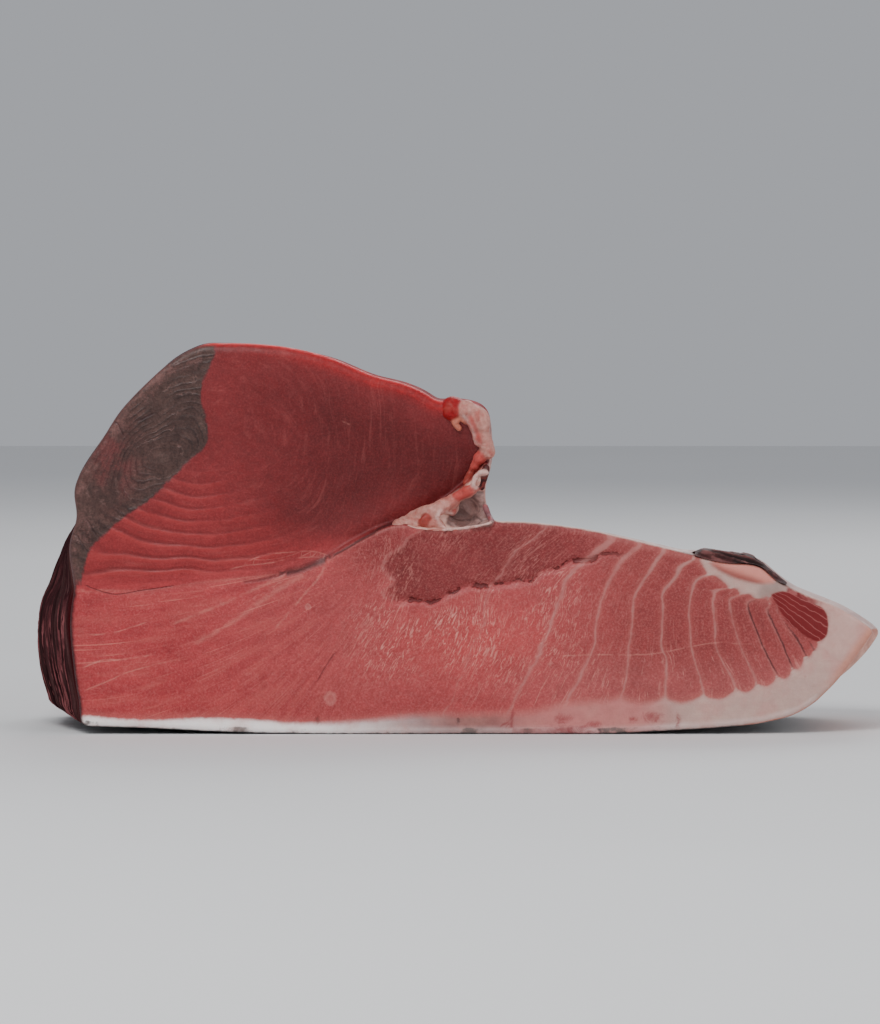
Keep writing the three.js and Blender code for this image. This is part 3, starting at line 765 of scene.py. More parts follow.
def shader_fields(f):
    """The values that the flesh material reads at each vertex of a cut face."""
    x, z = f.x, f.z
    off_centre = np.abs(f.septum % 1 - 0.5) * 1.92
    dome = np.minimum(0.62 * f.gap, 5.5) * (1 - np.sqrt(1 - np.minimum(off_centre, 1) ** 2))
    ends = (ease(f.drop, 0.55, 0.8) * ease_x(x, 60, 74)
            + ease(f.drop, 0.4, 0.15) * ease_x(x, 74, 79))
    lining = np.interp(x, across((58, 66, 76, 80, 84, 88, 92)), (-1.5, 0.2, 1.1, 0.8, 0, 1.2, 2))
    share = np.clip(f.drop, 0, 1)
    halves = [np.interp(f.septum, SEPTUM_NUMBERS, table)
              for table in (SEPTA_HALF_TOP, SEPTA_HALF_MIDDLE, SEPTA_HALF_FOOT)]
    half = np.where(share < 0.5, mix(*halves[:2], ease(share, 0.05, 0.42)),
                    mix(*halves[1:], ease(share, 0.6, 1)))
    copied = ("blood", "ridges", "ring", "oval", "septum", "gap", "fibre", "membrane", "crack",
              "pad", "hollow", "loin", "rim_gap")
    v = SimpleNamespace(**{name: getattr(f, name) for name in copied})
    v.fat = f.fat + dome * ends
    v.lining = np.where(f.belly > 0, lining + f.above, NO_LAYER)
    v.fat_soft = np.interp(x, across((22, 40, 60, 70, 80)), (0.8, 2.2, 3.4, 2.4, 0.7))
    v.bundle = np.minimum(f.bundle, -f.above - 1.6)
    v.bundle_turn = np.arctan2(up(BUNDLE_ROOT[1]) - z, x - across(BUNDLE_ROOT[0]))
    v.bundle_turn *= BUNDLE_SHEETS
    v.pad_shade = ease(f.above + 0.25 * (x - across(84)), -2.8, -7.2)
    v.skin_up = f.skin_up + 9 * ease_x(x, 76, 82)
    v.outer_gap = offset_from(OUTER_SIDE_HIGH, x, z)[2]
    v.band = np.where((f.loin > 0) & (x > across(42)), f.band, NO_LAYER)
    # how strongly the rim's red and its painted highlight show
    v.rim_power = ease_x(x, 18, 37)
    v.flesh_middle = ease(f.drop, 0, 0.15) * ease(f.drop, 1, 0.8)
    v.septum_half = half
    # which septa get painted shade in the groove beside them
    v.septum_dark = ease(f.septum, FIRST_DARK_SEPTUM - 0.6, FIRST_DARK_SEPTUM - 0.4)
    v.septum_power = f.belly * np.interp(f.septum, SEPTUM_NUMBERS, SEPTA_POWER)
    v.crack_power = f.belly * ease(f.crack_share, 0, 0.03) * ease(f.crack_share, 1, 0.85)
    v.membrane_power = f.belly * ease(f.membrane_share, 1, 0.93)
    v.loin_or_left = (x < across(20)).astype(float)
    pull = np.clip((x - across(0)) / (across(FAN_POINT[0]) - across(0)), 0, 0.85) ** 1.8
    v.flow_along = (x + z) * 0.035
    v.flow_across = (z - up(FAN_POINT[1]) * pull) / (1 - pull) * 0.5
    v.rise = z
    v.streaks = f.belly * ease_x(x, 42, 28)
    v.threads = f.belly * ease_x(x, 36, 60) * mix(0.35, 1, ease_z(z, 22, 19))
    v.marbled = f.belly * ease_x(x, 31, 42) * ease_x(x, 74, 52) * ease_z(z, 7, 20)
    v.marbled *= mix(1, 0.45, ease(f.crack, -2, 2))
    v.arc_turn = 3 * np.arctan2(up(RING_CENTRE[1]) - z, x - across(RING_CENTRE[0]))
    v.blotch = np.exp(-apart(x, z, *BLOTCH) ** 2)
    v.bruise = np.min([apart(x, z, *bruise) for bruise in BRUISES], axis=0)
    v.spot = np.min([apart(x, z, *spot) for spot in SPOTS], axis=0)
    layers = vars(v)
    for name, lines in (("pale", PALE_LINES), ("dark", DARK_LINES), ("red", RED_LINES)):
        layers[name], layers[name + "_half"], layers[name + "_power"] = thin_marks(lines, x, z)
    return layers


# ---------------------------------------------------------------- node trees
SPECKLE_DARK = (84, 74, 74)
SPECKLE_LIGHT = (243, 242, 242)
SCATTER_RADIUS = (0.003, 0.001, 0.0008)
# how dense a side's lumps are beside its folds
LUMP_SHARE = 0.45


class Value:
    """What a node puts out. Sums and products of it add the math nodes that they need."""

    def __init__(self, tree, socket):
        self.tree = tree
        self.socket = socket

    def __add__(self, other):
        return self.tree.calc("ADD", self, other)

    def __sub__(self, other):
        return self.tree.calc("SUBTRACT", self, other)

    def __rsub__(self, other):
        return self.tree.calc("SUBTRACT", other, self)

    def __mul__(self, other):
        return self.tree.calc("MULTIPLY", self, other)

    def __rtruediv__(self, other):
        return self.tree.calc("DIVIDE", other, self)

    def __abs__(self):
        return self.tree.calc("ABSOLUTE", self)

    def fraction(self):
        return self.tree.calc("FRACT", self)

    def off_middle(self):
        """Distance of a repeating value from its half-way point, 0 to 0.5."""
        return abs(self.fraction() - 0.5)

    def soft_max(self, other, width):
        return self.tree.calc("SMOOTH_MAX", self, other, width)

    def step(self, low, high, start=0.0, end=1.0):
        """A soft step from start, at low, to end, at high."""
        return self.tree.node("MapRange", {"Value": self, "From Min": low, "From Max": high,
                                           "To Min": start, "To Max": end}, "Result",
                              interpolation_type="SMOOTHSTEP")


class Tree:
    """Shorthand for a procedural material on one Principled shader."""

    def __init__(self, name):
        self.material = bpy.data.materials.new(name)
        self.material.use_nodes = True
        self.nodes = self.material.node_tree.nodes
        self.links = self.material.node_tree.links
        self.nodes.clear()
        self.shader = self.nodes.new("ShaderNodeBsdfPrincipled")
        output = self.nodes.new("ShaderNodeOutputMaterial")
        self.links.new(self.shader.outputs[0], output.inputs["Surface"])
        self.here = self.node("TexCoord", {}, "Object")

    def put(self, socket, value):
        """Link a socket to what a node puts out, or set it to a plain value."""
        if isinstance(value, Value):
            self.links.new(value.socket, socket)
        else:
            socket.default_value = value

    def node(self, kind, inputs, output=0, **settings):
        """What a new node puts out. Its inputs go by their names or numbers."""
        node = self.nodes.new("ShaderNode" + kind)
        for name, setting in settings.items():
            setattr(node, name, setting)
        for key, value in inputs.items():
            self.put(node.inputs[key], value)
        return Value(self, node.outputs[output])

    def __getitem__(self, name):
        """The number that the mesh holds for each vertex under a name."""
        return self.node("Attribute", {}, "Fac", attribute_name=name)

    def color(self, name):
        """The colour that the mesh holds for each vertex under a name."""
        return self.node("Attribute", {}, "Color", attribute_name=name)

    def calc(self, operation, *values):
        return self.node("Math", dict(enumerate(values)), operation=operation)

    def blend(self, share, under, over, mode="MIX"):
        """One colour over another. A plain colour is sRGB from 0 to 255."""
        under, over = [(*linear(color), 1.0) if isinstance(color, tuple) else color
                       for color in (under, over)]
        return self.node("Mix", {"Factor": share, 6: under, 7: over}, 2,
                         data_type="RGBA", blend_type=mode)

    def speckle(self, color, where, depth):
        """A colour made darker and lighter by a noise, about as much of each."""
        shade = self.blend(where, SPECKLE_DARK, SPECKLE_LIGHT)
        return self.blend(depth, color, shade, "OVERLAY")

    def noise(self, scale, detail=2.0, roughness=0.5, distortion=0.0, where=None):
        """Noise over the object's own coordinates, or over another vector."""
        return self.node("TexNoise", {"Vector": self.here if where is None else where,
                                      "Scale": scale, "Detail": detail,
                                      "Roughness": roughness, "Distortion": distortion}, "Fac")

    def noise_at(self, first, second, *character):
        """Noise over the plane of two values."""
        return self.noise(1.0, *character, where=self.node("CombineXYZ", {0: first, 1: second}))

    def stretched_noise(self, stretch, *character):
        """Noise with a scale of its own along each axis."""
        where = self.node("VectorMath", {0: self.here, 1: stretch}, operation="MULTIPLY")
        return self.noise(1.0, *character, where=where)

    def bump(self, height, distance, strength=1.0):
        relief = self.node("Bump", {"Strength": strength, "Distance": distance, "Height": height})
        self.put(self.shader.inputs["Normal"], relief)

    def finish(self, color, roughness, subsurface=0.12, shine=0.3):
        """Damp flesh: a little light scatters under the surface."""
        for name, value in (("Base Color", color), ("Roughness", roughness),
                            ("Subsurface Weight", subsurface),
                            ("Subsurface Radius", SCATTER_RADIUS), ("Subsurface Scale", 1.0),
                            ("Specular IOR Level", shine)):
            self.put(self.shader.inputs[name], value)
        return self.material


def mark_share(t, name, ragged):
    """How strongly a thin line shows, from its distance, half width and strength."""
    fades_at = t[name + "_half"] * 2.2 + 0.25
    return abs(t[name] + ragged).step(fades_at, 0.0) * t[name + "_power"]


def with_streaks(t, color):
    """Streaks of fat between the belly's fibres, left, and threads along the septa, right."""
    along, athwart, left = t["flow_along"], t["flow_across"], t["streaks"]
    streak = t.noise_at(along, athwart, 4, 0.7, 0.5)
    color = t.blend(streak.step(0.5, 0.78) * left * 0.4, color, (206, 110, 100))
    hair = t.noise_at(along * 0.5, athwart * 1.5, 2, 0.5, 0.3)
    color = t.blend(hair.step(0.62, 0.74) * left * 0.42, color, (222, 132, 120))
    band = t.noise_at(along, athwart * 0.25, 2)
    color = t.blend(band.step(0.45, 0.68) * left * 0.22, color, (196, 98, 90))
    color = t.blend(band.step(0.5, 0.3) * left * 0.26, color, (128, 34, 40))

    side, rise, marbled = t["fibre"], t["rise"], t["marbled"]
    thread = t.noise_at(side * 0.8, rise * 0.09, 3, 0.65, 0.9).step(0.55, 0.72) * t["threads"]
    color = t.blend(thread * 0.5, color, (214, 140, 130))
    stroke = t.noise_at(side * 0.5, rise * 0.13, 3, 0.6, 2.6).step(0.5, 0.66)
    stroke = stroke * marbled * t.noise(34).step(0.32, 0.6)
    color = t.blend(stroke * 0.72, color, (228, 152, 140))
    speck = t.noise_at(side * 1.5, rise * 0.8, 3, 0.7, 0.8).step(0.5, 0.68) * marbled
    color = t.blend(speck * 0.13, color, (226, 158, 148))
    return color, streak + thread * 0.6 + stroke


def with_rings(t, color):
    """Shingled ridges of the loin, a painted highlight on each crest and painted shade in each
    groove, and faint pale arcs between them.
    """
    ring, strength = t["ring"], t["ridges"]
    share = ring.fraction()
    # painted highlight on the lit face of each ridge
    crest = share.step(0.04, 0.16) * share.step(0.6, 0.16) * strength
    color = t.blend(crest * 0.38, color, (184, 62, 60))
    # painted shade in each ridge's groove
    groove = ring.off_middle().step(0.27, 0.5) * strength
    color = t.blend(groove * 0.42, color, (84, 22, 26))
    arc = t.noise_at(ring * 1.7, t["arc_turn"], 4, 0.7, 0.6).step(0.5, 0.8) * t["loin"]
    return t.blend(arc * 0.14, color, (206, 110, 104)), groove


def with_blood(t, color, edge, grain):
    """The dark oxidised bloodline: speckled, with soft rings, pale wrinkles and a red border."""
    border, here, oval = t["blood"] + edge * 3.2, t["loin_or_left"], t["oval"]
    rind = abs(border - 0.3).step(1.1, 0.2) * here
    color = t.blend(rind * 0.55, color, (84, 32, 38))
    mottle = t.noise(95, 4, 0.65)
    stain = t.blend(mottle.step(0.3, 0.7), (62, 43, 39), (86, 64, 58))
    ring = (oval + mottle * 1.5).off_middle().step(0.2, 0.5) * t.noise(48).step(0.38, 0.58)
    stain = t.blend(ring * 0.5, stain, (36, 24, 24))
    crease = (oval * 0.45 + mottle * 2.4).off_middle().step(0.4, 0.5)
    crease = crease * t.noise(130, 3).step(0.5, 0.62)
    stain = t.blend(crease * 0.4, stain, (122, 92, 85))
    stain = t.blend(t["blotch"] * mottle.step(0.4, 0.6, 0.1, 0.75), stain, (108, 50, 50))
    torn = t["outer_gap"] + mottle * 34.0 + edge * 14.0
    stain = t.blend(torn.step(24.0, 13.0, 0.0, 0.55), stain, (138, 98, 92))
    stain = t.speckle(stain, grain, 1.0)
    stain = t.speckle(stain, t.noise(420, 3, 0.7), 0.6)
    blood = border.step(-0.7, 0.7) * here
    return t.blend(blood, color, stain), blood * (ring - crease * 0.6)


def with_fat(t, color, edge):
    """Septa, the lining along the belly's top and the fat under the skin, with fillets, and
    painted shade in the grooves beside the septa near the tip.
    """
    gap, power, soft = t["gap"], t["septum_power"], t["fat_soft"]
    number = t["septum"] + (t.noise(90) - 0.5) * 0.22
    septum = t["septum_half"] - (0.5 - number.off_middle()) * gap
    color = t.blend(septum.step(-2.6, 0.2) * power * 0.22, color, (190, 108, 100))
    thin = (septum + edge * 1.6).step(-0.65, 0.4) * power
    uneven = t.noise(150, 3, 0.6).step(0.25, 0.65, 0.5, 1.0)
    color = t.blend(thin * uneven * 0.6, color, (184, 126, 120))
    # painted shade in the groove beside each septum, from the first dark one on
    beside = 0.5 - (number - 0.55 / gap).off_middle()
    groove = (beside * gap + edge * 0.8).step(0.7, 0.05) * t["septum_dark"] * t["flesh_middle"]
    color = t.blend(groove * 0.75, color, (62, 26, 30))
    border = (t["fat"] + edge * 1.8).soft_max(t["lining"] + edge * 1.5, 1.5)
    color = t.blend(border.step(-4.5, 0.4, 0.0, 0.3), color, (196, 118, 110))
    joined = border.soft_max(septum + power * 6.0 - 6.2, 2.6)
    blush = t.noise(75, 3, 0.6)
    white = t.blend(blush.step(0.42, 0.72, 0.0, 0.45), t.color("fat_tone"), (196, 136, 126))
    white = t.speckle(white, t.noise(240, 4, 0.7), 0.25)
    bruise = t["bruise"] + t.noise(170, 4, 0.75, 1.4) * 4.6 - 2.3
    white = t.blend(bruise.step(2.0, 0.0, 0.0, 0.65), white, (132, 32, 42))
    share = joined.step(soft * -1.0, soft) * joined.step(-0.5, 2.2, 0.62, 1.0)
    color = t.blend(share, color, white)
    skin = t["skin_up"] - (t.noise(38) * 9.0 + edge * 2.0 - 3.5)
    shade = t.blend(blush.step(0.4, 0.6), (54, 44, 44), (108, 96, 92))
    return t.blend(skin.step(1.2, 0.5) * 0.85, color, shade)


def with_tissue(t, color, edge, grain):
    """Connective tissue in the mouth of the fold, and the hollow behind it."""
    mottle = t.noise(120, 3, 0.6, 0.8)
    cream = t.blend(mottle.step(0.4, 0.62), (214, 168, 154), (176, 88, 78))
    color = t.blend((t["band"] + edge * 2.0).step(-0.8, 0.8), color, cream)
    murk = t.blend(mottle.step(0.4, 0.64), (116, 86, 81), (168, 134, 127))
    crease = (t.noise(55) * 5.0).off_middle().step(0.3, 0.5)
    murk = t.speckle(t.blend(crease * 0.6, murk, (52, 36, 36)), grain, 0.6)
    return t.blend((t["hollow"] + edge * 1.2).step(-0.6, 0.9), color, murk)


def with_bundle(t, color, edge, cloud):
    """The dark little muscle near the tip, its sheets of fat running from its upper end."""
    meat = t.blend(cloud, (100, 14, 18), (128, 28, 30))
    strand = (t["bundle_turn"] + edge * 0.3 + t.noise(130) * 0.9).off_middle()
    meat = t.blend(strand.step(0.38, 0.5, 0.0, 0.5), meat, (186, 110, 106))
    return t.blend((t["bundle"] + edge).step(-0.6, 0.5), color, meat)


def flesh_material():
    """The cut faces and the rounded edge: flesh, blood, fat, tissue and the thin marks."""
    t = Tree("tuna_flesh")
    grain = t.noise(1100, 3, 0.7)
    edge = t.noise(260, 4, 0.65) - 0.5
    cloud = t.noise(42, 3, 0.6)
    color = t.color("tone")
    for where, depth in ((cloud, 0.3), (t.noise(330, 3, 0.6, 1.0), 0.35), (grain, 0.45)):
        color = t.speckle(color, where, depth)
    specks = grain.step(0.44, 0.72) * t["loin"].step(0.0, 1.0, 0.11, 0.025)
    color = t.blend(specks, color, (226, 166, 158))
    # the bright red band along the loin's rounded top edge: partly its own red, partly a painted
    # highlight
    rim = (t["rim_gap"] + edge * 6.0).step(5.2, 1.0) * t["loin"] * t["rim_power"]
    color = t.blend(rim * 0.85, color, LOIN_RIM_AND_HIGHLIGHT)
    color, threads = with_streaks(t, color)
    color, groove = with_rings(t, color)

    crack = abs(t["crack"] + edge * 5.0) + t.noise(180).step(0.42, 0.62) * 1.4 - 0.3
    crack = crack.step(1.0, 0.1) * t["crack_power"]
    color = t.blend(crack * 0.8, color, (84, 20, 22))
    sheet = abs(t["membrane"] + edge * 4.0).step(1.3, 0.1) * t["membrane_power"]
    color = t.blend(sheet * t.noise(110).step(0.35, 0.6) * 0.34, color, (190, 128, 120))

    color, blood = with_blood(t, color, edge, grain)
    color = with_fat(t, color, edge)
    pad = t.blend(t["pad_shade"], PAD_PINK, PAD_SHADE)
    color = t.blend((t["pad"] + edge).step(-0.6, 1.8), color, pad)
    color = with_bundle(t, color, edge, cloud)
    color = with_tissue(t, color, edge, grain)

    # dark lines: painted shadow along the fold's crease, and dark marks elsewhere
    dark = mark_share(t, "dark", edge * 0.9)
    color = t.blend(dark * 0.85, color, (52, 22, 24))
    pale = mark_share(t, "pale", edge * 0.9) * t.noise(210).step(0.3, 0.6)
    color = t.blend(pale, color, (224, 150, 136))
    color = t.blend(mark_share(t, "red", edge * 2.0) * 0.9, color, (124, 22, 32))
    spot = t["spot"] + edge * 1.4
    spot = abs(spot - 0.8).step(0.4, 0.05, 0.0, 0.14) + spot.step(1.2, 0.5, 0.0, 0.17)
    color = t.blend(spot, color, (222, 152, 142))

    turned = (t["turned"] + edge * 0.5).step(0.35, 0.85)
    color = t.blend(turned, color, t.speckle(t.color("edge_tone"), grain, 0.5))
    t.bump(grain * 0.55 + threads * 0.3 - groove * 0.8 - crack * 2.0 + blood * 0.6
           - dark * 1.5 + cloud * 0.8, 0.0004, 0.8)
    return t.finish(color, t.noise(150, 3).step(0.3, 0.7, 0.34, 0.54))


def side_material(name, low, high, dark, stretch, roughness, relief=0.0006, shine=0.3):
    """A side of the block: lumps of two colours, painted shade in the hollows of its folds, fading
    into its edge.
    """
    t = Tree(name)
    lump = t.stretched_noise([LUMP_SHARE * times for times in stretch], 4, 0.6, 0.4)
    color = t.blend(lump.step(0.35, 0.68), low, high)
    folds = t.stretched_noise(stretch, 4, 0.6, 0.6)
    # darker where the folds' bump is low: painted shade in their hollows
    color = t.blend(folds.step(0.6, 0.42, 0.0, 0.6), color, dark)
    from_face = (t["reach"] + lump * 9.0).step(5.0, 14.0) * (1.0 - t["keep_edge"])
    color = t.blend(from_face, t.color("edge_tone"), color)
    grain = t.noise(700, 3, 0.6)
    color = t.speckle(color, grain, 0.4)
    t.bump(folds + grain * 0.15, relief)
    return t.finish(color, lump.step(0.3, 0.7, roughness, roughness + 0.15), 0.06, shine)


# the block's sides: name, two colours of its lumps, the painted shade in its folds, stretch,
# roughness, relief, shine
SIDE_LOOKS = (
    ("skin", (64, 62, 64), (150, 146, 148), (30, 28, 30), (30, 30, 200), 0.3),
    ("belly_edge", (214, 146, 124), (226, 180, 164), (176, 98, 80), (160, 30, 60), 0.5),
    ("belly_lining", (206, 170, 162), (224, 200, 194), (176, 132, 124), (90, 24, 60), 0.35),
    ("loin_end", (184, 116, 106), (208, 162, 150), (140, 62, 58), (200, 40, 240), 0.4),
    ("loin_top", (142, 36, 38), (172, 60, 58), (104, 28, 32), (260, 30, 120), 0.5, 0.0006, 0.05),
    ("outer_side", (58, 32, 35), (92, 62, 62), (22, 12, 14), (60, 300, 26), 0.45, 0.0014, 0.0),
)


# ---------------------------------------------------------------- pieces
def paint(mesh, name, data):
    """Store one number or one linear colour for each vertex."""
    if data.ndim == 1:
        layer = mesh.attributes.new(name, "FLOAT", "POINT")
        layer.data.foreach_set("value", data.astype(np.float32))
    else:
        layer = mesh.attributes.new(name, "FLOAT_COLOR", "POINT")
        rgba = np.column_stack([data, np.ones(len(data))]).astype(np.float32)
        layer.data.foreach_set("color", rgba.ravel())


def add_object(name, data):
    thing = bpy.data.objects.new(name, data)
    bpy.context.collection.objects.link(thing)
    return thing


def add_mesh(name, vertices, faces):
    """A mesh object from millimetres."""
    mesh = bpy.data.meshes.new(name)
    mesh.from_pydata((vertices * MM).tolist(), [], np.asarray(faces).tolist())
    return add_object(name, mesh)


def add_piece(name, vertices, faces, **layers):
    """A smooth piece from section millimetres, with the values that its material reads."""
    piece = add_mesh(name, vertices + shift, faces)
    piece.data.polygons.foreach_set("use_smooth", [True] * len(piece.data.polygons))
    for label, data in layers.items():
        paint(piece.data, label, data)
    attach(piece, "root")
    return piece


def block_layers():
    """What the materials read at each vertex of the block."""
    near, far = [shader_fields(f) for f in block.fields]
    layers = {name: np.concatenate([near[name], far[name]])[block.origin] for name in near}
    for name, make in (("tone", flesh_tone), ("fat_tone", fat_tone)):
        layers[name] = np.vstack([make(f) for f in block.fields])[block.origin]
    tone = edge_tone()
    edges = np.zeros((len(points), 3))
    keep = np.zeros(len(points))
    for ids in block.rim_ids:
        edges[ids] = tone
    edges[block.faces:] = np.tile(tone, (block.bands - 1, 1))
    keep[block.faces:] = np.tile(relaxed(on_flap, FLAP_PASSES), block.bands - 1)
    keep *= ease(block.reach, 30, 14) * (block.origin < block.front)
    return {**layers, "edge_tone": edges, "keep_edge": keep, "reach": block.reach,
            "turned": block.turned}


def build_block():
    piece = add_piece("steak_block", points, block.quads, **block_layers())
    piece.data.materials.append(flesh_material())
    for look in SIDE_LOOKS:
        piece.data.materials.append(side_material(*look))
    stretch_ends = np.array([AT_BELLY_EDGE, AT_BELLY_TIP, AT_FOLD_MOUTH, AT_LOIN_RIGHT,
                             AT_LOIN_LEFT, AT_END])
    side_slots = 1 + np.searchsorted(stretch_ends, index, side="right")
    rounded = np.zeros(ROUND_STEPS * AT_END, int)
    piece.data.polygons.foreach_set("material_index", np.concatenate([
        np.zeros(block.face_quads, int), rounded,
        np.tile(side_slots, block.bands - 2 * ROUND_STEPS), rounded]))
    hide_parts(NODE)


build_block()

# ---------------------------------------------------------------- tissue at the loin's end
VOXEL_MM = 0.6
# how often a strand's depths are evened out, and its balls' spacing in radii
DEPTH_PASSES = 6
BALL_SPACING = 0.35
STRAND_COLORS = {
    "cream": (196, 140, 128), "pale": (214, 174, 164), "salmon": (188, 80, 74),
    "pink": (168, 76, 70), "orange": (146, 62, 54), "tan": (188, 112, 92),
    "red": (150, 22, 26), "maroon": (52, 18, 20), "lilac": (140, 96, 100),
}
# colour, radius (mm), how far its middle stands out (mm), points in percent of the face
STRANDS = (
    ("red", 5, -3.8, ((47.3, 83), (48.3, 83.2))),
    ("cream", 4.2, -1.4, ((49.5, 83), (50.6, 82.2), (51.3, 80.8), (51.5, 79.2))),
    ("cream", 3.3, -0.6, ((51.6, 78.6), (51.8, 76.4), (52, 74.2), (52.3, 72))),
    ("pink", 2.4, 0.8, ((49.6, 81.8), (50.3, 79.7), (50.8, 76.8), (51.1, 74.8))),
    ("pale", 0.8, 2.2, ((49.2, 81.6), (50.1, 79.2), (50.5, 76.4), (50.7, 74.9), (51.2, 74.1))),
    ("tan", 1.6, 0.4, ((49.4, 79.9), (49, 80.7), (48.4, 80.6), (48.1, 79.6), (48.6, 78.2))),
    ("salmon", 2.9, 0.2, ((51.6, 71.6), (51.1, 70.1), (50.6, 68.3))),
    ("orange", 2.2, -0.3, ((50.6, 68.3), (50.1, 66.3), (49.6, 64.2))),
    ("maroon", 1.8, -1.4, ((52, 68.2), (51.7, 65.6), (51.4, 63.3))),
    ("pale", 1.2, 0.8, ((52.1, 67), (51.3, 67.1), (50.7, 65.9), (50.4, 64.2), (50.7, 63))),
    ("salmon", 2.7, -0.2, ((48.2, 60.7), (49.2, 61.7), (50.2, 62.7))),
    ("cream", 1.3, 0.2, ((47.8, 59.9), (48.9, 60.3), (50.1, 61.4), (50.7, 62.5))),
    ("cream", 3.4, -1.4, ((41, 53.4), (42.4, 54.7), (43.8, 55.9), (45.3, 57), (46.7, 58.5),
                          (47.8, 59.5))),
    ("cream", 3.2, -1.6, ((42.6, 53.7), (44, 53.5), (45.5, 54.3), (46.1, 53.2))),
    ("orange", 2.4, -0.2, ((44.5, 55.4), (44.1, 54.1))),
    ("salmon", 2.4, 0.0, ((47.3, 58.2), (47.7, 56.9))),
    ("pale", 0.9, 1.5, ((48.2, 59.2), (48.4, 57.7), (47.9, 56.4), (47.2, 56.7), (46.3, 57.2),
                        (46, 55.6), (46.1, 54.1), (46.7, 52.9), (47.6, 52.5))),
    ("pale", 0.8, 0.3, ((46.6, 52.4), (49.2, 52.8), (51.1, 53.5), (52.6, 54.2))),
    ("lilac", 1.4, 0.4, ((51.9, 58.2), (52.3, 56.2), (52.7, 54.6))),
)


def unit_ball():
    shape = bmesh.new()
    bmesh.ops.create_icosphere(shape, subdivisions=2, radius=1)
    verts = np.array([v.co[:] for v in shape.verts])
    faces = np.array([[v.index for v in face.verts] for face in shape.faces])
    shape.free()
    return verts, faces


def strand_balls():
    """Centre, radius and colour of every ball that the tissue is moulded from."""
    centres, radii, tones = [], [], []
    for color, radius, lift, line in STRANDS:
        length = np.hypot(*np.diff(smooth_line(line), axis=0).T).sum()
        spots = sample(line, np.linspace(0, 1, max(3, int(length / (BALL_SPACING * radius)))))
        depth = np.array([surface_depth(*spot) for spot in spots])
        for _ in range(DEPTH_PASSES):
            depth = np.convolve(np.pad(depth, 1, "edge"), (0.25, 0.5, 0.25), "valid")
        wobble = lumps(placed(spots, depth), 4, 2, radius)
        centres.append(placed(spots, depth - lift))
        radii.append(radius * (1 + 0.28 * wobble))
        tones.append(np.repeat(linear(STRAND_COLORS[color])[None], len(spots), axis=0))
    return np.vstack(centres), np.concatenate(radii), np.vstack(tones)


def moulded(piece, voxel):
    """A piece's surface after it is fused and smoothed: vertices (m) and faces."""
    fuse = piece.modifiers.new("fuse", "REMESH")
    fuse.mode = "VOXEL"
    fuse.voxel_size = voxel
    soften = piece.modifiers.new("soften", "SMOOTH")
    soften.iterations = 3
    ready = piece.evaluated_get(bpy.context.evaluated_depsgraph_get())
    mesh = bpy.data.meshes.new_from_object(ready)
    verts = np.array([v.co[:] for v in mesh.vertices])
    faces = [list(p.vertices) for p in mesh.polygons]
    bpy.data.meshes.remove(mesh)
    return verts, faces


def build_tissue():
    centres, radii, tones = strand_balls()
    ball, ball_faces = unit_ball()
    verts = (centres[:, None] + radii[:, None, None] * ball[None]).reshape(-1, 3)
    steps = np.arange(len(centres))[:, None, None] * len(ball)
    rough = add_mesh("rough", verts, (ball_faces[None] + steps).reshape(-1, 3))
    verts, faces = moulded(rough, VOXEL_MM * MM)
    bpy.data.objects.remove(rough)
    verts /= MM
    verts[:, 1] -= 0.5 * lumps(verts, 3.5, 2, 6.1)
    away = np.linalg.norm(verts[:, None] - centres[None], axis=2) - radii[None]
    weight = np.exp(-np.clip(away, -3, 9) * 3.2)
    tone = (weight[..., None] * tones[None]).sum(axis=1) / weight.sum(axis=1)[:, None]
    piece = add_piece("tissue", verts, faces, tone=tone)
    t = Tree("tissue")
    grain = t.noise(600, 3, 0.6)
    mottle = t.noise(190, 3, 0.6, 0.5)
    color = t.blend(mottle.step(0.44, 0.72, 0.0, 0.6), t.color("tone"), (164, 66, 58))
    color = t.speckle(color, grain, 0.5)
    t.bump(mottle + grain * 0.3, 0.0008, 0.7)
    piece.data.materials.append(t.finish(color, 0.42, 0.15, 0.2))


# ---------------------------------------------------------------- folds of the outer side
FOLD_TOP = 55
FOLD_HEIGHT = 1.3
SIDE_COLUMNS = 150


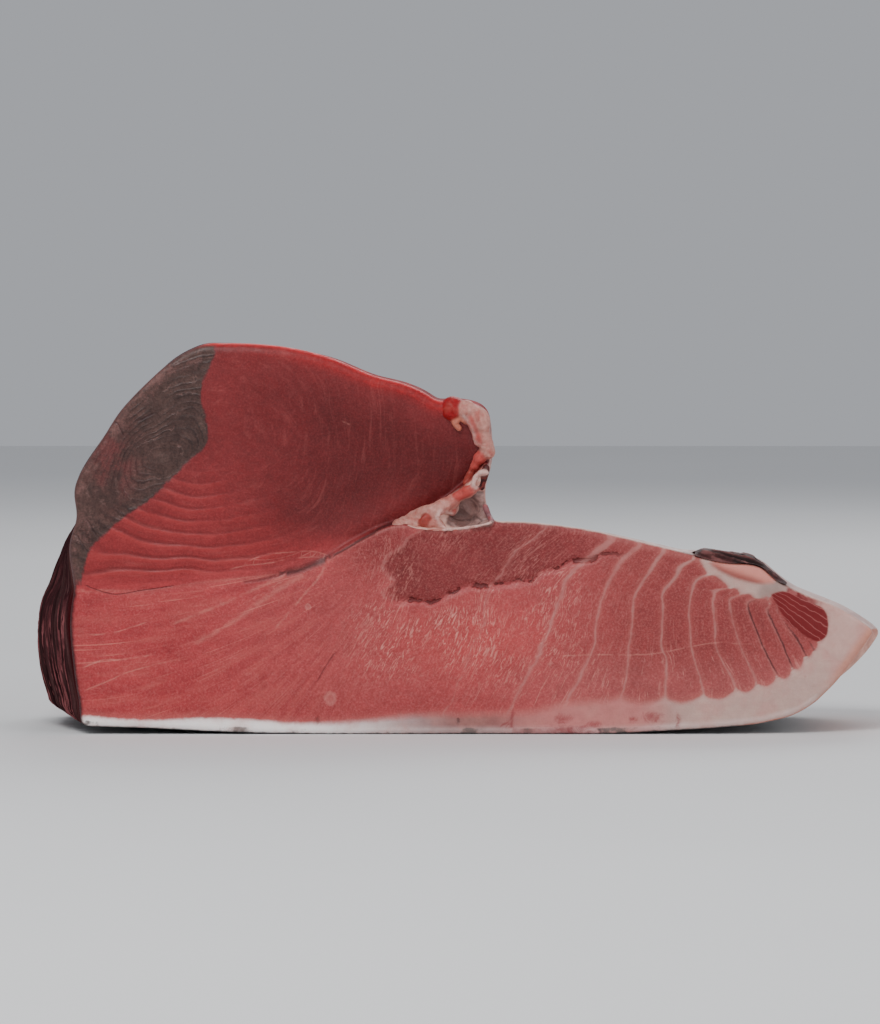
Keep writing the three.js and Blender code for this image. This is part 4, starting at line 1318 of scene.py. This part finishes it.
def build_outer_side():
    """A wrinkled sheet over the outer side: folds that run up it and pinch together, with painted
    shade between their raised ridges.
    """
    rows = index[(index > AT_LOIN_LEFT) & (outline[:, 1] < up(FOLD_TOP))]
    depths = np.linspace(0.02, 0.98, SIDE_COLUMNS)
    front_y, back_y = [points[ids, 1][rows] for ids in block.rim_ids]
    flat = np.vstack([placed(section(np.full(AT_END, depth))[rows], mix(front_y, back_y, depth))
                      for depth in depths])
    tall = flat[:, 2] / up(FOLD_TOP)
    wander = flat[:, 1] + 5 * lumps(flat * (0.3, 0.3, 1), 30, 2, 8.8)
    ridge_at = np.column_stack([wander / 5.2, flat[:, 2] / 70, 0 * wander])
    fold = 1 - np.abs(lumps(ridge_at, 1, 3, 1.5)) * 2.2
    edge = np.repeat(np.minimum(depths, 1 - depths), len(rows)) * THICKNESS
    weight = ease(edge, 2, 7) * ease(tall, 0.99, 0.86) * ease(tall, 0.01, 0.06)
    out = mix(-0.6, FOLD_HEIGHT * (fold - 0.7), weight)
    shove = np.tile(normal[rows], (SIDE_COLUMNS, 1))
    flat[:, 0] += shove[:, 0] * out
    flat[:, 2] = np.maximum(flat[:, 2] + shove[:, 1] * out, 0)
    ids = np.arange(len(flat)).reshape(SIDE_COLUMNS, len(rows))
    piece = add_piece("outer_side_folds", flat, grid_quads(ids), fold=fold,
                      high=ease(tall, 0.45, 0.85))
    t = Tree("outer_side_folds")
    grain = t.stretched_noise((700, 900, 160), 3, 0.6)
    color = t.blend(t.noise(55, 4, 0.65).step(0.36, 0.66), (64, 34, 38), (144, 84, 86))
    # near black away from the raised fold ridges: painted shade in the hollows between them
    color = t.blend(t["fold"].step(0.8, 0.3), color, (16, 10, 12))
    color = t.blend(t["high"], color, (50, 28, 31))
    color = t.speckle(color, grain, 0.8)
    t.bump(grain, 0.0006, 0.8)
    piece.data.materials.append(t.finish(color, 0.7, 0.03, 0.0))


# ---------------------------------------------------------------- membrane above the pad
FLAP_FOOT = ((78.2, 46), (80.1, 44.8), (82.7, 44), (85.2, 43.9), (86.7, 43), (87.9, 40.7),
             (88.6, 39.5), (89.8, 38.4))
FLAP_CREST = ((78.4, 46.5), (79.6, 47.3), (81.5, 46.9), (83.8, 46.2), (85.2, 45.8), (86.4, 44.5),
              (88.2, 41.6), (90, 38.7))
FLAP_REACH = 34.0
FLAP_GRID = (130, 50)


def build_flap():
    """A dark wrinkled membrane that stands up from the wall's front edge and runs back, with a
    painted highlight on its raised wrinkles and painted shade in its low ones.
    """
    u, v = [np.linspace(0, 1, count) for count in FLAP_GRID]
    foot, crest = sample(FLAP_FOOT, u), sample(FLAP_CREST, u)
    front = np.array([surface_depth(*spot) for spot in foot])
    rise = ease(v, 0, 0.28) - 1.6 * ease(v, 0.5, 1)
    flat = foot[:, None] + (crest - foot)[:, None] * rise[None, :, None]
    depth = front[:, None] - 0.4 + FLAP_REACH * v[None] ** 1.4
    grid = np.stack([flat[..., 0], depth, flat[..., 1]], axis=2).reshape(-1, 3)
    fold = lumps(np.column_stack([grid[:, 0] / 22, grid[:, 1] / 3,
                                  (grid[:, 2] + 0.35 * grid[:, 0]) / 1.6]), 1, 3, 4.6)
    inner = np.outer(np.sin(u * np.pi), ease(v, 0, 0.1)).ravel()
    grid[:, 2] += 0.9 * fold * inner
    ids = np.arange(len(grid)).reshape(FLAP_GRID)
    piece = add_piece("wall_membrane", grid, grid_quads(ids.T), fold=fold)
    t = Tree("wall_membrane")
    grain = t.stretched_noise((120, 500, 700), 3, 0.6)
    # the membrane's dark brown and pinkish grey follow its wrinkles' height: partly its own
    # colour, partly painted highlight on the raised wrinkles and painted shade in the low ones
    color = t.blend(t["fold"].step(-0.3, 0.6), (36, 20, 19), (120, 77, 74))
    color = t.blend(t.noise(60, 3, 0.6).step(0.45, 0.65, 0.0, 0.5), color, (84, 38, 38))
    color = t.speckle(color, grain, 0.7)
    t.bump(grain, 0.0005, 0.7)
    piece.data.materials.append(t.finish(color, 0.55, 0.05, 0.15))


build_tissue()
build_outer_side()
build_flap()

# ---------------------------------------------------------------- stage, lights and camera
PIXEL_MM = 0.4545
FRAME_HEIGHT_PX = 1024
CAMERA_DISTANCE = 3.2
CAMERA_ELEVATION = 3.0
AIM = (46.2, 57.0)
SENSOR = 36.0
# name, place and size in metres, and power in watts; all the lamps face one place
LAMPS = (("key", (-0.5, -1.3, 1.5), 1.0, 26), ("fill", (1.4, -1.2, 0.7), 1.2, 9),
         ("back", (0.3, 1.4, 1.2), 1.0, 10))
LIT_PLACE = Vector((0, 0, 0.08))


def build_stage():
    bpy.ops.mesh.primitive_grid_add(x_subdivisions=8, y_subdivisions=8, size=6)
    floor = bpy.context.object
    floor.name = "floor"
    t = Tree("floor")
    t.put(t.shader.inputs["Base Color"], t.blend(t.noise(3), (222, 222, 222), (228, 228, 228)))
    t.put(t.shader.inputs["Roughness"], 0.8)
    floor.data.materials.append(t.material)


def build_lights():
    for name, place, size, power in LAMPS:
        data = bpy.data.lights.new(name, "AREA")
        data.size = size
        data.energy = power
        lamp = add_object(name, data)
        lamp.location = place
        lamp.rotation_euler = (LIT_PLACE - Vector(place)).to_track_quat("-Z", "Y").to_euler()
    world = bpy.data.worlds.new("studio")
    bpy.context.scene.world = world
    world.use_nodes = True
    background = world.node_tree.nodes["Background"]
    background.inputs["Color"].default_value = (0.9, 0.93, 1.0, 1)
    background.inputs["Strength"].default_value = 0.45


def build_camera():
    aim = Vector((across(AIM[0]) + shift[0], -THICKNESS / 2, up(AIM[1]))) * MM
    tilt = math.radians(CAMERA_ELEVATION)
    data = bpy.data.cameras.new("camera")
    data.sensor_width = SENSOR
    data.lens = CAMERA_DISTANCE / MM * SENSOR / (FRAME_HEIGHT_PX * PIXEL_MM)
    data.clip_end = 20
    camera = add_object("camera", data)
    camera.location = aim + Vector((0, -math.cos(tilt), math.sin(tilt))) * CAMERA_DISTANCE
    camera.rotation_euler = (math.pi / 2 - tilt, 0, 0)
    bpy.context.scene.camera = camera


build_stage()
build_lights()
build_camera()
